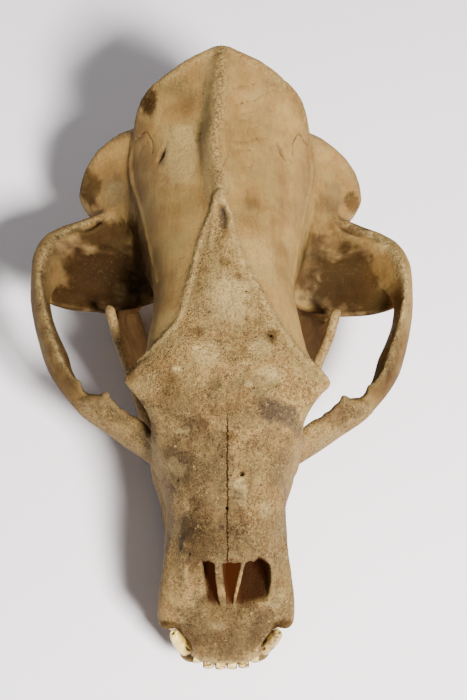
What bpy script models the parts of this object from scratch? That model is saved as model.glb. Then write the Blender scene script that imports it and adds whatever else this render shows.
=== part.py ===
"""Skull of an adult male kodiak bear: cranium, lower jaw and teeth.

Metres, +Z up.  The jaw is closed and the skull lies on the lower jaw.
The snout points to -Y and the back of the head to +Y.  The origin is on the
resting surface, below the middle of the whole skull.

Anatomical tables are in millimetres.  In them y runs from the front of the
upper jaw (0) to the back of the crest (424) and z is the height over the
margin of the upper cheek-tooth sockets.
"""

import math

import bmesh
import bpy
from mathutils import Vector

# ---------------------------------------------------------------- dimensions
MM = 0.001
TOOTH_PLANE = 66.0      # height of the upper socket margin over the surface
Y_CENTRE = 210.5        # table y of the middle of the whole skull
GREATEST_LENGTH = 424.0  # front of the upper jaw to the back of the crest
ARCH_BREADTH = 283.0    # widest part, across the cheek arches
GAP = 0.35              # clearance between a tooth and its socket
TUCK = 12.5             # how far the lower edge of the branch stands inwards
NOTCH = 0.9             # clearance of the upper jaw round the lower canine
CAVITY_BACK = 112.0     # table y of the back of the nasal cavity
SEPTUM = 3.2            # thickness of the plate that divides the nose
CORE_DETAIL = 0.52      # share of the first loft's triangles that is kept
CONDYLE_R = 9.6         # radius of the jaw's joint roller
CONDYLE_X = (57.0, 109.0)
CONDYLE_YZ = (281.0, -3.0)

# ------------------------------------------------------------ scene clean-up
for _ob in list(bpy.data.objects):
    bpy.data.objects.remove(_ob, do_unlink=True)


def P(x, y, z):
    """Table millimetres to metres in the model's own frame."""
    return Vector((x * MM * ARCH_BREADTH / 283.0,
                   (y - Y_CENTRE) * MM * GREATEST_LENGTH / 424.0,
                   (z + TOOTH_PLANE) * MM))


def material(name, colour, rough):
    m = bpy.data.materials.new(name)
    m.use_nodes = True
    b = m.node_tree.nodes["Principled BSDF"]
    b.inputs["Base Color"].default_value = (*colour, 1.0)
    b.inputs["Roughness"].default_value = rough
    b.inputs["Metallic"].default_value = 0.0
    return m


def add_object(name, bm, mat=None):
    bmesh.ops.remove_doubles(bm, verts=bm.verts, dist=0.000002)
    bmesh.ops.triangulate(bm, faces=bm.faces)
    bmesh.ops.recalc_face_normals(bm, faces=bm.faces)
    me = bpy.data.meshes.new(name)
    bm.to_mesh(me)
    bm.free()
    if mat:
        me.materials.append(mat)
    ob = bpy.data.objects.new(name, me)
    bpy.context.scene.collection.objects.link(ob)
    return ob


def loft(bm, rings):
    """Closed solid through rings of equal vertex count."""
    rows = [[bm.verts.new(p) for p in r] for r in rings]
    n = len(rows[0])
    for a, b in zip(rows, rows[1:]):
        for i in range(n):
            j = (i + 1) % n
            bm.faces.new((a[i], a[j], b[j], b[i]))
    for end in (rows[0], rows[-1]):
        c = Vector((0, 0, 0))
        for v in end:
            c += v.co
        cv = bm.verts.new(c / n)
        for i in range(n):
            bm.faces.new((end[i], end[(i + 1) % n], cv))


def solid(name, rings, mat=None):
    bm = bmesh.new()
    loft(bm, rings)
    return add_object(name, bm, mat)


def ellipsoid(name, centre, radii, seg=10, ring=6):
    bm = bmesh.new()
    bmesh.ops.create_uvsphere(bm, u_segments=seg, v_segments=ring, radius=1.0)
    c = P(*centre)
    for v in bm.verts:
        v.co = Vector((v.co.x * radii[0] * MM + c.x,
                       v.co.y * radii[1] * MM + c.y,
                       v.co.z * radii[2] * MM + c.z))
    return add_object(name, bm)


def guide(ob):
    ob.hide_render = True
    ob.display_type = 'WIRE'
    return ob


def combine(target, tool, operation):
    """Boolean with the exact solver; the tool stays as a hidden guide."""
    m = target.modifiers.new(operation.lower() + "_" + tool.name, 'BOOLEAN')
    m.operation = operation
    m.solver = 'EXACT'
    m.object = tool
    guide(tool)


def apply_all(ob):
    """Bake the modifier stack into the object's own mesh."""
    dg = bpy.context.evaluated_depsgraph_get()
    dg.update()
    me = bpy.data.meshes.new_from_object(ob.evaluated_get(dg))
    ob.modifiers.clear()
    old = ob.data
    ob.data = me
    if old.users == 0:
        bpy.data.meshes.remove(old)


def thin_out(ob, ratio):
    """Fewer triangles where the surface is already smooth."""
    m = ob.modifiers.new("thin_out", 'DECIMATE')
    m.decimate_type = 'COLLAPSE'
    m.ratio = ratio
    m.use_collapse_triangulate = True
    apply_all(ob)


def drop(*obs):
    for ob in obs:
        bpy.data.objects.remove(ob, do_unlink=True)


def mirror_ring(half, y):
    """Half outline, top to bottom, to a whole ring in the plane y."""
    right = [P(x, y, z) for x, z in half]
    left = [P(-x, y, z) for x, z in reversed(half[1:-1])]
    return right + left


# ------------------------------------------------------------------ cranium
# Half outlines of the case and the snout, from the top of the midline, round
# the side, to the bottom of the midline.
CORE = {
    4: ((0, 6), (4, 6), (8, 5.6), (12, 5), (15, 4), (17, 2.6), (18, 1), (17.5, -1), (16, -2.5), (14, -3), (12, -3.2), (10, -3.3), (8, -3.4), (5, -3.5), (2, -3.5), (0, -3.5)),
    9: ((0, 10.5), (6, 10.3), (12, 9.5), (17, 8), (21, 6), (24, 4), (26, 1.5), (26, -1), (24, -3), (21, -3.5), (18, -3), (14, -1), (10, .5), (6, 1.5), (3, 2), (0, 2)),
    16: ((0, 17), (7, 16.6), (14, 15), (20, 12.5), (25, 9.5), (28.5, 6.5), (30.5, 3.5), (31, .5), (29.5, -2), (27, -3), (23, -2), (18, 1), (13, 3), (8, 4.2), (4, 4.8), (0, 5)),
    24: ((0, 24), (8, 23.5), (16, 21.5), (23, 18.5), (29, 14.5), (33.5, 10.5), (36, 6.5), (37, 2.5), (36, -1), (33, -2.4), (27, -1), (21, 2), (15, 4), (9, 5.4), (4, 5.9), (0, 6)),
    31: ((0, 29.5), (9, 29), (18, 27), (26, 23.5), (33, 19.5), (39.5, 15), (44, 10), (45.5, 5), (44.5, .5), (41, -1.5), (32, 0), (24, 2.8), (17, 4.8), (10, 6), (5, 6.4), (0, 6.5)),
    38: ((0, 33), (9, 33), (19, 32), (28, 30), (35, 26.5), (42, 21), (46, 14.5), (47, 8), (46, 2), (43, -1), (34, 0), (25, 3), (17, 5), (10, 6.2), (5, 6.6), (0, 6.7)),
    46: ((0, 45), (9, 44.5), (18, 43), (26, 40), (33, 35.5), (40, 28.5), (45, 20.5), (47, 12), (46.5, 4), (44, -1), (35, .5), (26, 3.4), (18, 5.2), (10, 6.3), (5, 6.8), (0, 7)),
    53: ((0, 58), (9, 57.5), (18, 56), (25.5, 51.5), (32, 44.5), (39, 35.5), (44, 26), (46.5, 15.5), (46.5, 5), (44, -.8), (35, .8), (26, 3.7), (18, 5.4), (10, 6.5), (5, 7), (0, 7.2)),
    60: ((0, 68), (9, 68), (17, 66.5), (24, 61.5), (31, 53), (38, 42.5), (43, 31), (45.5, 18.5), (45.5, 6), (43.5, -.6), (35, 1), (26, 4), (18, 5.6), (10, 6.8), (5, 7.3), (0, 7.5)),
    70: ((0, 71.5), (9, 71.3), (17.5, 69.5), (25.5, 64.5), (32.5, 56), (38.5, 45.5), (42.5, 34), (44, 21), (43.8, 8), (42, -.4), (34, 1.2), (26, 4.3), (18, 6), (10, 7.2), (5, 7.7), (0, 8)),
    85: ((0, 77), (9.5, 76.7), (19, 74.5), (27.5, 69), (34.5, 60), (39.5, 49), (42.5, 37), (43.5, 23.5), (43, 9.5), (41, -.2), (33, 1.5), (26, 4.7), (18, 6.4), (10, 7.8), (5, 8.3), (0, 8.5)),
    105: ((0, 86), (10, 85.8), (20, 83.8), (29.5, 78.5), (36.5, 69.5), (40.3, 57.5), (41.8, 44), (41.8, 28), (40.8, 12), (41.6, .5), (33, 1.8), (26, 5), (18, 7), (10, 8.5), (5, 9.2), (0, 9.4)),
    120: ((0, 92), (11, 92), (22, 90), (32, 85), (39.5, 76), (43.7, 63.5), (45.8, 49), (45, 32), (43.8, 14), (45.0, 1), (35, 2), (27, 5.5), (18, 7.6), (10, 9.2), (5, 9.9), (0, 10)),
    133: ((0, 98), (12, 98.2), (24, 96.5), (35.5, 91.5), (44, 82.5), (49, 69.5), (51.8, 54), (50.8, 36), (48.6, 17), (49.8, 1.5), (37, 2.4), (28, 6), (18, 8.2), (10, 9.8), (5, 10.4), (0, 10.6)),
    146: ((0, 103.5), (13, 104), (27, 102.5), (40, 97), (49, 87.5), (53, 74), (52, 57), (48, 40), (49.5, 20), (52, 2), (39, 2.8), (29, 6.4), (18, 8.6), (10, 10.2), (5, 10.8), (0, 11)),
    158: ((0, 107.5), (14, 108.3), (31, 106.8), (46, 101), (56, 91.5), (52, 78), (42, 62), (40, 44), (48, 22), (52.5, 2.5), (39, 3.2), (29, 6.8), (18, 9), (10, 10.6), (5, 11.2), (0, 11.4)),
    170: ((0, 110), (16, 111.2), (35, 109.8), (52, 103.5), (65, 94.5), (57, 83), (40, 67), (36, 48), (45, 24), (52, 3), (39, 3.6), (29, 7), (18, 9.4), (10, 11), (5, 11.6), (0, 11.8)),
    178: ((0, 111), (17, 112.6), (38, 111), (57, 104), (71.5, 95.5), (62, 86), (42, 70), (35.5, 50), (43, 26), (51, 3.5), (38, 4), (29, 7.4), (18, 9.8), (10, 11.4), (5, 12), (0, 12)),
    187: ((0, 112), (17, 113.8), (37, 112), (54, 105.5), (64.5, 96.5), (58, 85.5), (44, 69), (37, 50), (39, 28), (49, 4), (36, 4.6), (28, 7.6), (18, 10), (10, 11.8), (5, 12.4), (0, 12.5)),
    198: ((0, 112.5), (16, 114.4), (34, 112.4), (48, 106), (57, 95.5), (56, 82), (48, 66), (40, 49), (35, 33), (40, 9), (32, 6), (26, 7), (18, 10), (10, 12), (5, 12.8), (0, 13)),
    212: ((0, 113.5), (15, 115), (30, 112.5), (43, 106), (53, 94.5), (55, 80), (49, 64), (41.5, 49), (35, 36), (30, 24), (27, 8), (22, 5), (17, 10), (10, 16), (5, 18), (0, 18.5)),
    230: ((0, 116), (12, 117), (24, 114), (38, 107), (49, 94), (52.5, 78), (49.5, 63), (43, 50), (36, 39), (31, 29), (27, 9), (23, 3), (18, 12), (10, 21), (5, 23), (0, 23.5)),
    248: ((0, 118.5), (10, 118.5), (20, 114.5), (35, 106), (46, 93), (50.5, 77), (50, 61), (46, 48), (40, 38), (34, 31), (27, 15), (23, 8), (19, 16), (10, 22.5), (5, 24), (0, 24)),
    264: ((0, 120.5), (7, 119), (18, 114.5), (33, 105.5), (45, 92), (50.5, 76), (51.5, 60), (50, 46), (46, 37), (40, 29), (32, 22), (24, 17), (18, 18), (10, 21), (5, 22), (0, 22)),
    282: ((0, 122), (5, 119), (16, 114.3), (32, 105), (45, 91.5), (52.5, 75), (56, 59), (57, 45), (55, 34), (48, 24), (40, 14), (30, 11), (20, 13), (10, 17), (5, 18), (0, 18)),
    300: ((0, 123.5), (4.5, 119), (15, 114), (32, 104.5), (47, 90.5), (56, 74), (60, 58), (62, 45), (62, 33), (56, 20), (48, 7), (36, 4), (22, 9), (11, 14), (5, 15), (0, 15)),
    318: ((0, 125.5), (4.5, 119), (15, 113.7), (33, 104), (48.5, 89.5), (58.5, 72.5), (63.5, 57), (67, 46), (70, 34), (68, 20), (56, 7), (40, 2), (24, 8), (12, 12), (5, 13), (0, 13)),
    334: ((0, 128), (4.5, 119.5), (15, 113.6), (34, 103.5), (50, 88.5), (60.5, 71.5), (66, 57), (74, 46), (90, 32), (92, 16), (70, 6), (46, 3), (26, 8), (12, 11), (5, 12), (0, 12)),
    346: ((0, 129.5), (4.5, 120), (15, 113.8), (34.5, 103.5), (51, 88), (61.5, 71), (67.5, 57), (79, 45.5), (100, 27), (101, 10), (80, 0), (50, 5), (28, 8), (12, 10), (5, 11), (0, 11)),
    360: ((0, 131), (5, 121), (16, 114.4), (36, 104), (52.5, 88), (62.5, 71), (69, 57), (83, 46), (106, 25), (106, 6), (88, -8), (56, 4), (32, 7), (12, 9.5), (5, 10.4), (0, 10.5)),
    372: ((0, 132), (5, 122), (17, 115.6), (38, 105.5), (54.5, 90), (63.5, 74), (69, 60), (82, 50), (103, 33), (102, 10), (86, -4), (62, 0), (36, 7), (14, 10), (5, 10.8), (0, 11)),
    383: ((0, 132.5), (6, 123.5), (20, 118), (41, 109), (57.5, 95), (65, 81), (68, 68), (79, 60), (94, 46), (92, 22), (76, 6), (60, -4), (38, 8), (16, 12), (6, 13), (0, 13)),
    391: ((0, 133), (7, 125.5), (22, 120.5), (42, 112.5), (57, 102), (62, 94), (62, 80), (66, 68), (76, 58), (72, 36), (58, 16), (48, 6), (34, 14), (18, 24), (8, 28), (0, 30)),
    398: ((0, 133.3), (7, 127), (22, 122), (40, 115), (54, 107), (58, 102), (55, 90), (50, 77), (48, 66), (46, 54), (42, 44), (34, 40), (26, 42), (16, 46), (8, 48), (0, 50)),
    406: ((0, 133.7), (7, 128.5), (20, 124), (35, 118), (46, 112), (50, 108), (47, 99), (42, 90), (37, 83), (32, 78), (26, 74), (20, 72), (14, 71), (9, 70.5), (4, 70), (0, 70)),
    414: ((0, 134), (6, 130), (14, 127.5), (23, 124.5), (31, 121), (34, 118), (33, 113), (30, 109), (26, 105), (22, 102), (18, 100), (14, 98.5), (10, 97.5), (7, 97), (3, 96.5), (0, 96.5)),
    420: ((0, 134), (4, 131.5), (9, 130), (14, 129), (17, 127.5), (18, 126), (17.5, 123.5), (16, 121.5), (14, 119.5), (12, 118), (10, 117), (8, 116.3), (6, 115.8), (4, 115.5), (2, 115.3), (0, 115.2)),
    424: ((0, 134), (2, 133), (4, 132.4), (5.5, 131.8), (6.5, 131), (7, 130.2), (7, 129.3), (6.5, 128.5), (6, 127.9), (5, 127.4), (4, 127), (3.2, 126.8), (2.4, 126.6), (1.6, 126.5), (.8, 126.4), (0, 126.4)),
}

# Cheek arch on the +X side: y, then upper rim, widest point, lower edge and
# inner face as (x, z).
ARCH = (
    (140, (46, 58), (55, 34), (46, 13), (38, 38)),
    (146, (52, 60), (64, 34), (52, 13), (42, 40)),
    (152, (57, 59), (73, 35), (61, 14), (47, 39)),
    (168, (72, 56), (96, 39), (87, 19), (67, 38)),
    (175, (80, 58.5), (105, 41.5), (97, 21), (75, 39)),
    (181, (86, 62), (110, 43.5), (103, 22), (83, 42)),
    (186, (96, 61), (115, 45), (108, 23), (92, 45)),
    (193, (108, 60), (121, 46), (114, 24), (104, 45)),
    (203, (115, 61), (127, 47), (120, 25), (109, 42)),
    (232, (125.5, 62), (136.5, 49), (130, 28), (120, 41)),
    (262, (132.5, 61), (141.2, 48), (135, 31), (127.5, 40)),
    (286, (132.5, 57), (140.8, 46), (129, 25), (114, 31)),
    (298, (129, 54), (138, 44), (123, 21), (104, 27)),
    (308, (123, 50), (133, 42.5), (115, 19), (94, 26)),
    (318, (112, 46), (123, 38.5), (104, 17), (84, 26)),
    (327, (98, 42), (108, 33), (93, 17), (74, 26)),
    (335, (84, 40), (94, 29), (82, 16), (64, 26)),
)

# Root of the arch behind the fossa: y, upper surface, then lower surface.
SHELF = (
    (262.5, ((86, 17.5), (94, 18.5), (103, 21), (113, 25), (122, 29), (129, 34)), ((129, 30), (121, 22), (112, 17), (103, 15), (94, 14), (86, 14.5))),
    (269, ((60, 20), (75, 18), (90, 18.5), (104, 21), (117, 27), (130, 36)), ((130, 27), (117, 16), (104, 10), (90, 7), (75, 7), (60, 12))),
    (276, ((46, 31), (61, 23), (78, 20), (94, 20.5), (112, 26), (130, 38)), ((130, 25), (114, 14), (98, 8), (80, 6.5), (62, 8), (46, 14))),
    (286, ((46, 34), (61, 27), (78, 23.5), (94, 24), (112, 30), (129, 42)), ((128, 24), (114, 13), (98, 9), (80, 8.5), (60, 8), (46, 12))),
    (296, ((46, 38), (61, 31), (78, 28.5), (94, 29.5), (110, 36), (125, 46)), ((122, 22), (110, 10), (98, 0), (80, -7), (60, -7), (46, 6))),
    (305, ((46, 44), (61, 38), (78, 36), (94, 38.5), (107, 43), (118, 47)), ((114, 21), (103, 12), (93, 4), (79, -5), (60, -6), (46, 6))),
    (318, ((48, 50), (62, 43), (76, 39), (90, 39), (101, 41), (110, 43)), ((106, 20), (96, 14), (86, 11), (76, 9), (60, 5), (46, 6))),
    (333, ((48, 52), (62, 46), (74, 40), (84, 36), (92, 33), (98, 30)), ((96, 17), (88, 12), (80, 9), (70, 6), (58, 5), (46, 6))),
)


def arch_ring(y, rim, wide, low, inner, side):
    """Eight-sided lens through the four key points of the arch section."""
    def mid(a, b, push):
        mx, mz = (a[0] + b[0]) / 2, (a[1] + b[1]) / 2
        cx = (rim[0] + wide[0] + low[0] + inner[0]) / 4
        cz = (rim[1] + wide[1] + low[1] + inner[1]) / 4
        return (mx + (mx - cx) * push, mz + (mz - cz) * push)
    pts = (rim, mid(rim, wide, .34), wide, mid(wide, low, .22),
           low, mid(low, inner, .10), inner, mid(inner, rim, .16))
    return [P(side * x, y, z) for x, z in pts]


bone = material("bone_cranium", (0.50, 0.36, 0.20), 0.62)
cranium = solid("cranium", [mirror_ring(h, y) for y, h in sorted(CORE.items())], bone)
thin_out(cranium, CORE_DETAIL)

tools = []
for side, tag in ((1, "left"), (-1, "right")):
    tools.append(solid("arch_" + tag, [arch_ring(*a, side) for a in ARCH]))
    tools.append(solid("shelf_" + tag, [[P(side * x, y, z) for x, z in top + low]
                                        for y, top, low in SHELF]))
    # occipital condyle and the process beside it
    tools.append(ellipsoid("condyle_" + tag, (side * 31, 389, 23), (13, 14.5, 15)))
    tools.append(solid("jugular_process_" + tag, [
        [P(side * (61 + r * math.cos(a)), 378 + r * .8 * math.sin(a), z)
         for a in (i * math.tau / 6 for i in range(6))]
        for z, r in ((24, 12), (4, 8), (-9, 4.2), (-12, 2.2))]))
    # ear capsule, flat in bears
    tools.append(ellipsoid("bulla_" + tag, (side * 45, 335, 8), (21, 22, 9)))
tools.append(ellipsoid("occipital_base", (0, 380, 20), (30, 18, 13)))
for t in tools:
    combine(cranium, t, 'UNION')
apply_all(cranium)
drop(*tools)

# Cuts: nasal cavity on both sides of its dividing plate, the opening for the
# spinal cord, the two sockets for the jaw's rollers and the rear of the palate.
tools = []
NOSE = (
    # y, half width, floor, roof
    (20, 20, 34, 80), (27, 24, 27, 82), (36, 26.5, 26.5, 82), (45, 27.5, 26, 78), (56, 27.5, 25, 64.5),
    (66, 25.5, 24, 63.5), (80, 25.5, 22, 67), (96, 25, 22, 73), (CAVITY_BACK, 22, 26, 76),
)


def nose_ring(y, w, lo, hi, x0, side):
    h = hi - lo
    pts = ((x0, hi), (w * .55, hi - h * .02), (w * .86, hi - h * .2), (w, hi - h * .45),
           (w * .97, lo + h * .25), (w * .8, lo + h * .07), (w * .45, lo), (x0, lo))
    return [P(side * x, y, z) for x, z in pts]


for side, tag in ((1, "left"), (-1, "right")):
    tools.append(solid("nose_" + tag, [nose_ring(*n, SEPTUM / 2, side) for n in NOSE[4:]]))
    tools.append(solid("jaw_socket_" + tag, [
        [P(side * x, CONDYLE_YZ[0] + (CONDYLE_R + 1.5) * math.cos(a),
           CONDYLE_YZ[1] + (CONDYLE_R + 1.5) * math.sin(a))
         for a in (i * math.tau / 12 for i in range(12))]
        for x in (CONDYLE_X[0] - 4, CONDYLE_X[1] + 6)]))
bm = bmesh.new()
loft(bm, [[*nose_ring(*n, 0.0, 1)[:-1], *reversed(nose_ring(*n, 0.0, -1)[1:])]
          for n in NOSE[:5]])
tools.append(add_object("nose_front", bm))
tools.append(ellipsoid("foramen_magnum", (0, 394, 33), (16.5, 24, 13.5), 12, 8))
for t in tools:
    combine(cranium, t, 'DIFFERENCE')
apply_all(cranium)
drop(*tools)

# --------------------------------------------------------------- lower jaw
# Body of the jaw on the +X side: y, middle (x, z), half width, half height,
# with z counted from the resting surface.
JAW_BODY = (
    (10.5, 11.5, 38, 13, 8), (16, 13, 33, 15, 15), (28, 14, 28, 17, 21), (45, 17, 25.5, 16, 23.5),
    (62, 22, 24.5, 13, 24), (80, 27.5, 24, 10.2, 24.6), (105, 33, 24.2, 9, 25),
    (135, 37.2, 24.4, 9.4, 25.2), (160, 41.5, 24.4, 9.8, 25.2), (182, 47.5, 24.2, 10.2, 25),
    (200, 54, 25, 10, 25), (218, 56.5, 27, 8, 24), (236, 57.8, 27, 5.5, 20),
)
# Outline of the jaw's rising branch in side view, z from the resting surface.
BRANCH = (
    (186, 47), (193, 58), (204, 66), (213, 76), (221, 87), (230, 99), (239, 110), (246, 118),
    (250, 120.5), (254, 117), (255, 107), (255.5, 96), (256.5, 85), (258.5, 75), (263, 69), (270, 66),
    (280, 65), (287, 60), (284, 50), (282, 40), (285, 31), (292, 25), (299, 20), (301, 14),
    (298, 7), (291, 1.5), (281, -.6), (271, -.4), (259, 2.5), (243, 4.5), (225, 3.5), (205, 2),
    (190, 6), (183, 26),
)


def branch_x(y, z):
    """Middle plane of the rising branch, leaning outwards as it rises."""
    lean = min(max(0.175 * (z - 12), -2), 16)
    fade = max(0.0, min(1.0, (y - 262) / 25))
    tuck = TUCK * max(0.0, min(1.0, (y - 200) / 58)) * (1 - max(0.0, min(1.0, (z - 14) / 52)))
    return 50 + 0.285 * (y - 190) + lean * (1 - 0.55 * fade) - tuck


bone2 = material("bone_mandible", (0.47, 0.34, 0.19), 0.62)
Z0 = -TOOTH_PLANE
jaw = None
tools = []
for side, tag in ((1, "left"), (-1, "right")):
    rings = []
    for y, cx, cz, hw, hh in JAW_BODY:
        ring = []
        for i in range(8):
            a = i * math.tau / 8 + math.tau / 16
            c, s = math.cos(a), math.sin(a)
            e = 0.72
            ring.append(P(side * (cx + hw * math.copysign(abs(c) ** e, c)), y,
                          Z0 + cz + hh * 1.058 * math.copysign(abs(s) ** e, s)))
        rings.append(ring)
    body = solid("jaw_body_" + tag, rings, bone2)
    if jaw is None:
        jaw = body
        jaw.name = "mandible"
    else:
        tools.append(body)
    bm = bmesh.new()
    faces = []
    for dx in (-1, 1):
        vs = []
        for y, z in BRANCH:
            t = 5.6 - 3.4 * max(0.0, min(1.0, (z - 40) / 70))
            vs.append(bm.verts.new(P(-(branch_x(y, z) + dx * t * .72), y, Z0 + z)))
        faces.append(vs)
    n = len(BRANCH)
    for vs in faces:
        bm.faces.new(vs)
    for i in range(n):
        j = (i + 1) % n
        bm.faces.new((faces[0][i], faces[0][j], faces[1][j], faces[1][i]))
    bmesh.ops.triangulate(bm, faces=bm.faces)
    for v in bm.verts:
        v.co.x *= -side
    tools.append(add_object("branch_" + tag, bm))
    tools.append(solid("roller_" + tag, [
        [P(side * x, CONDYLE_YZ[0] + dy + r * math.cos(a), CONDYLE_YZ[1] + r * math.sin(a))
         for a in (i * math.tau / 10 for i in range(10))]
        for x, r, dy in ((CONDYLE_X[0], 5.5, 2), (CONDYLE_X[0] + 5, 8.6, 1.2), (75, CONDYLE_R, 0),
                         (92, CONDYLE_R - .4, -.6), (CONDYLE_X[1] - 6, 8.2, -1.2), (CONDYLE_X[1], 5, -2))]))
    tools.append(solid("neck_" + tag, [
        [P(side * (x + w * math.cos(a)), y + d * math.sin(a), Z0 + z)
         for a in (i * math.tau / 8 for i in range(8))]
        for x, y, z, w, d in ((74, 276, 34, 6, 8), (78, 278, 48, 12, 7.5), (81, 280.5, 60, 20, 6.5))]))
tools.append(solid("chin_plate", [
    [P(w * math.cos(a), y, Z0 + cz + h * math.sin(a)) for a in (i * math.tau / 12 for i in range(12))]
    for y, w, cz, h in ((14, 10, 35, 11), (30, 15, 29, 18), (50, 17, 24, 18), (66, 16, 20, 13), (76, 12, 18, 7))]))
for t in tools:
    combine(jaw, t, 'UNION')
apply_all(jaw)
drop(*tools)

# The lower edge is flattened where it touches the surface.
bm = bmesh.new()
bmesh.ops.create_cube(bm, size=1.0)
for v in bm.verts:
    v.co = Vector((v.co.x * .4, v.co.y * .6, v.co.z * .05 - .025))
ground = add_object("ground_cut", bm)
combine(jaw, ground, 'DIFFERENCE')
apply_all(jaw)
drop(ground)

# -------------------------------------------------------------------- teeth
# name: (x, y) of the socket, crown length along the row, crown width,
# crown height, depth of the root, kind, forward lean in degrees, outward
# lean in degrees.
UPPER_PLANE = 0.0
LOWER_PLANE = -17.0
UPPER = {
    "incisor_1": (4.05, 5.2, 6.4, 7.6, 10.6, 6.0, "incisor", 22, 0, 0.0),
    "incisor_2": (12.1, 6.3, 6.8, 7.8, 11.4, 6.0, "incisor", 20, 3, 0.0),
    "incisor_3": (19.9, 10.4, 8.0, 7.2, 14.0, 6.5, "incisor", 13, 5, 0.6),
    "canine": (37.2, 37.0, 18.6, 14.0, 31.0, 9.0, "fang", 7, 0, 0.0),
    "premolar_1": (38.0, 54.0, 6.5, 4.6, 4.4, 4.0, "peg", 0, 0, 0.2),
    "premolar_4": (38.6, 116.5, 16.5, 10.5, 7.8, 5.5, "molar", 0, 0, 0.6),
    "molar_1": (42.0, 138.0, 23.0, 15.5, 7.2, 5.5, "molar", 0, 0, 0.8),
    "molar_2": (43.2, 169.5, 37.0, 15.5, 6.8, 5.5, "molar", 0, 0, 1.0),
}
LOWER = {
    "incisor_1": (3.2, 14.0, 5.8, 5.2, 9.6, 5.5, "incisor", 33, 0, -4.2),
    "incisor_2": (9.2, 14.5, 6.0, 5.8, 10.2, 5.5, "incisor", 32, 0, -4.2),
    "incisor_3": (15.5, 15.4, 6.0, 6.0, 10.6, 5.5, "incisor", 27, 5, -3.8),
    "canine": (27.2, 16.9, 12.6, 12.2, 27.0, 8.0, "stub", -12, 22.0, -4.2),
    "premolar_1": (29.0, 44.0, 5.6, 4.4, 4.0, 4.0, "peg", 0, 0, -.4),
    "premolar_4": (35.4, 111.0, 12.5, 7.6, 7.6, 5.5, "molar", 0, 0, -.2),
    "molar_1": (37.6, 131.5, 24.5, 10.8, 8.4, 5.5, "molar", 0, 0, -.2),
    "molar_2": (40.8, 158.6, 26.0, 14.0, 8.0, 5.5, "molar", 0, 0, -.2),
    "molar_3": (46.0, 182.6, 18.5, 12.5, 7.4, 5.5, "molar", 0, 0, -.6),
}


def tooth_profile(kind, h, root):
    """(height along the tooth, scale of length, scale of width, shift)."""
    if kind == "fang":
        return ((-root, .62, .62, 0), (-1, .92, .92, 0), (h * .12, 1, 1, 0), (h * .42, .84, .86, .02),
                (h * .72, .58, .62, .05), (h * .93, .3, .34, .06), (h, .12, .14, .06))
    if kind == "stub":      # a fang worn blunt
        return ((-root, .62, .62, 0), (-1, .92, .92, 0), (h * .12, 1, 1, 0), (h * .42, .93, .95, .01),
                (h * .72, .79, .83, .01), (h * .93, .56, .60, .01), (h, .32, .35, .01))
    if kind == "incisor":
        return ((-root, .55, .6, 0), (-.8, .72, .86, 0), (h * .35, .96, 1.0, 0), (h * .75, .92, .94, 0),
                (h, .6, .74, 0))
    if kind == "peg":
        return ((-root, .55, .55, 0), (-.4, .8, .8, 0), (h * .4, 1, 1, 0), (h, .4, .4, 0))
    return ((-root, .74, .62, 0), (-.6, .9, .84, 0), (h * .5, 1, 1, 0), (h, .8, .62, 0))


def tooth_rings(x, y, length, width, h, root, kind, fwd, out, dz, side, plane, sgn, grow=0.0):
    """Rings of one tooth; sgn is -1 for an upper and +1 for a lower tooth."""
    n = 8
    f, o = math.radians(fwd), math.radians(out)
    axis = Vector((math.sin(o), -math.sin(f), sgn * math.cos(f) * math.cos(o))).normalized()
    fy = (Vector((0, 1, 0)) - axis * axis.y).normalized()
    fx = axis.cross(fy).normalized()
    if fx.x < 0:
        fx = -fx
    base = Vector((x, y, plane + dz))
    rings = []
    prof = tooth_profile(kind, h, root)
    if grow and kind in ("molar", "peg"):
        prof = prof[:3]
    for k, (t, sl, sw, sh) in enumerate(prof):
        if k == 0:
            t -= grow
        if k == len(prof) - 1:
            t += grow
        c = base + axis * t + fy * (sh * length)
        ring = []
        for i in range(n):
            a = i * math.tau / n + math.pi / n
            e = .8 if kind == "molar" else 1.0
            cx = math.copysign(abs(math.cos(a)) ** e, math.cos(a))
            sy = math.copysign(abs(math.sin(a)) ** e, math.sin(a))
            p = c + fx * (cx * (width / 2 * sw + grow)) + fy * (sy * (length / 2 * sl + grow))
            ring.append(P(side * p.x, p.y, p.z))
        rings.append(ring)
    return rings


enamel = {"upper": material("enamel_upper", (0.72, 0.62, 0.42), 0.35),
          "lower": material("enamel_lower", (0.74, 0.64, 0.44), 0.35)}
for row, table, plane, sgn, host in (("upper", UPPER, UPPER_PLANE, -1, cranium),
                                     ("lower", LOWER, LOWER_PLANE, 1, jaw)):
    for side, tag in ((1, "left"), (-1, "right")):
        for tname, spec in table.items():
            nm = "%s_%s_%s" % (row, tname, tag)
            own = enamel[row].copy()
            own.name = "enamel_" + nm
            solid(nm, tooth_rings(*spec, side, plane, sgn), own)
            cutter = solid("socket_" + nm, tooth_rings(*spec, side, plane, sgn, GAP))
            combine(host, cutter, 'DIFFERENCE')
            if nm.startswith("lower_canine"):
                # the lower canine stands in a notch of the upper jaw's edge
                notch = solid("socket_notch_" + tag, tooth_rings(*spec, side, plane, sgn, NOTCH))
                combine(cranium, notch, 'DIFFERENCE')
for host in (cranium, jaw):
    apply_all(host)
drop(*[o for o in bpy.data.objects if o.name.startswith("socket_")])

for ob in (cranium, jaw):
    me = ob.data
    me.materials.clear()
    me.materials.append(bone if ob is cranium else bone2)
    me.polygons.foreach_set("material_index", [0] * len(me.polygons))
    bm = bmesh.new()
    bm.from_mesh(me)
    bmesh.ops.remove_doubles(bm, verts=bm.verts, dist=0.000002)
    bmesh.ops.triangulate(bm, faces=bm.faces)
    bm.to_mesh(me)
    bm.free()
    me.update()
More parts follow.
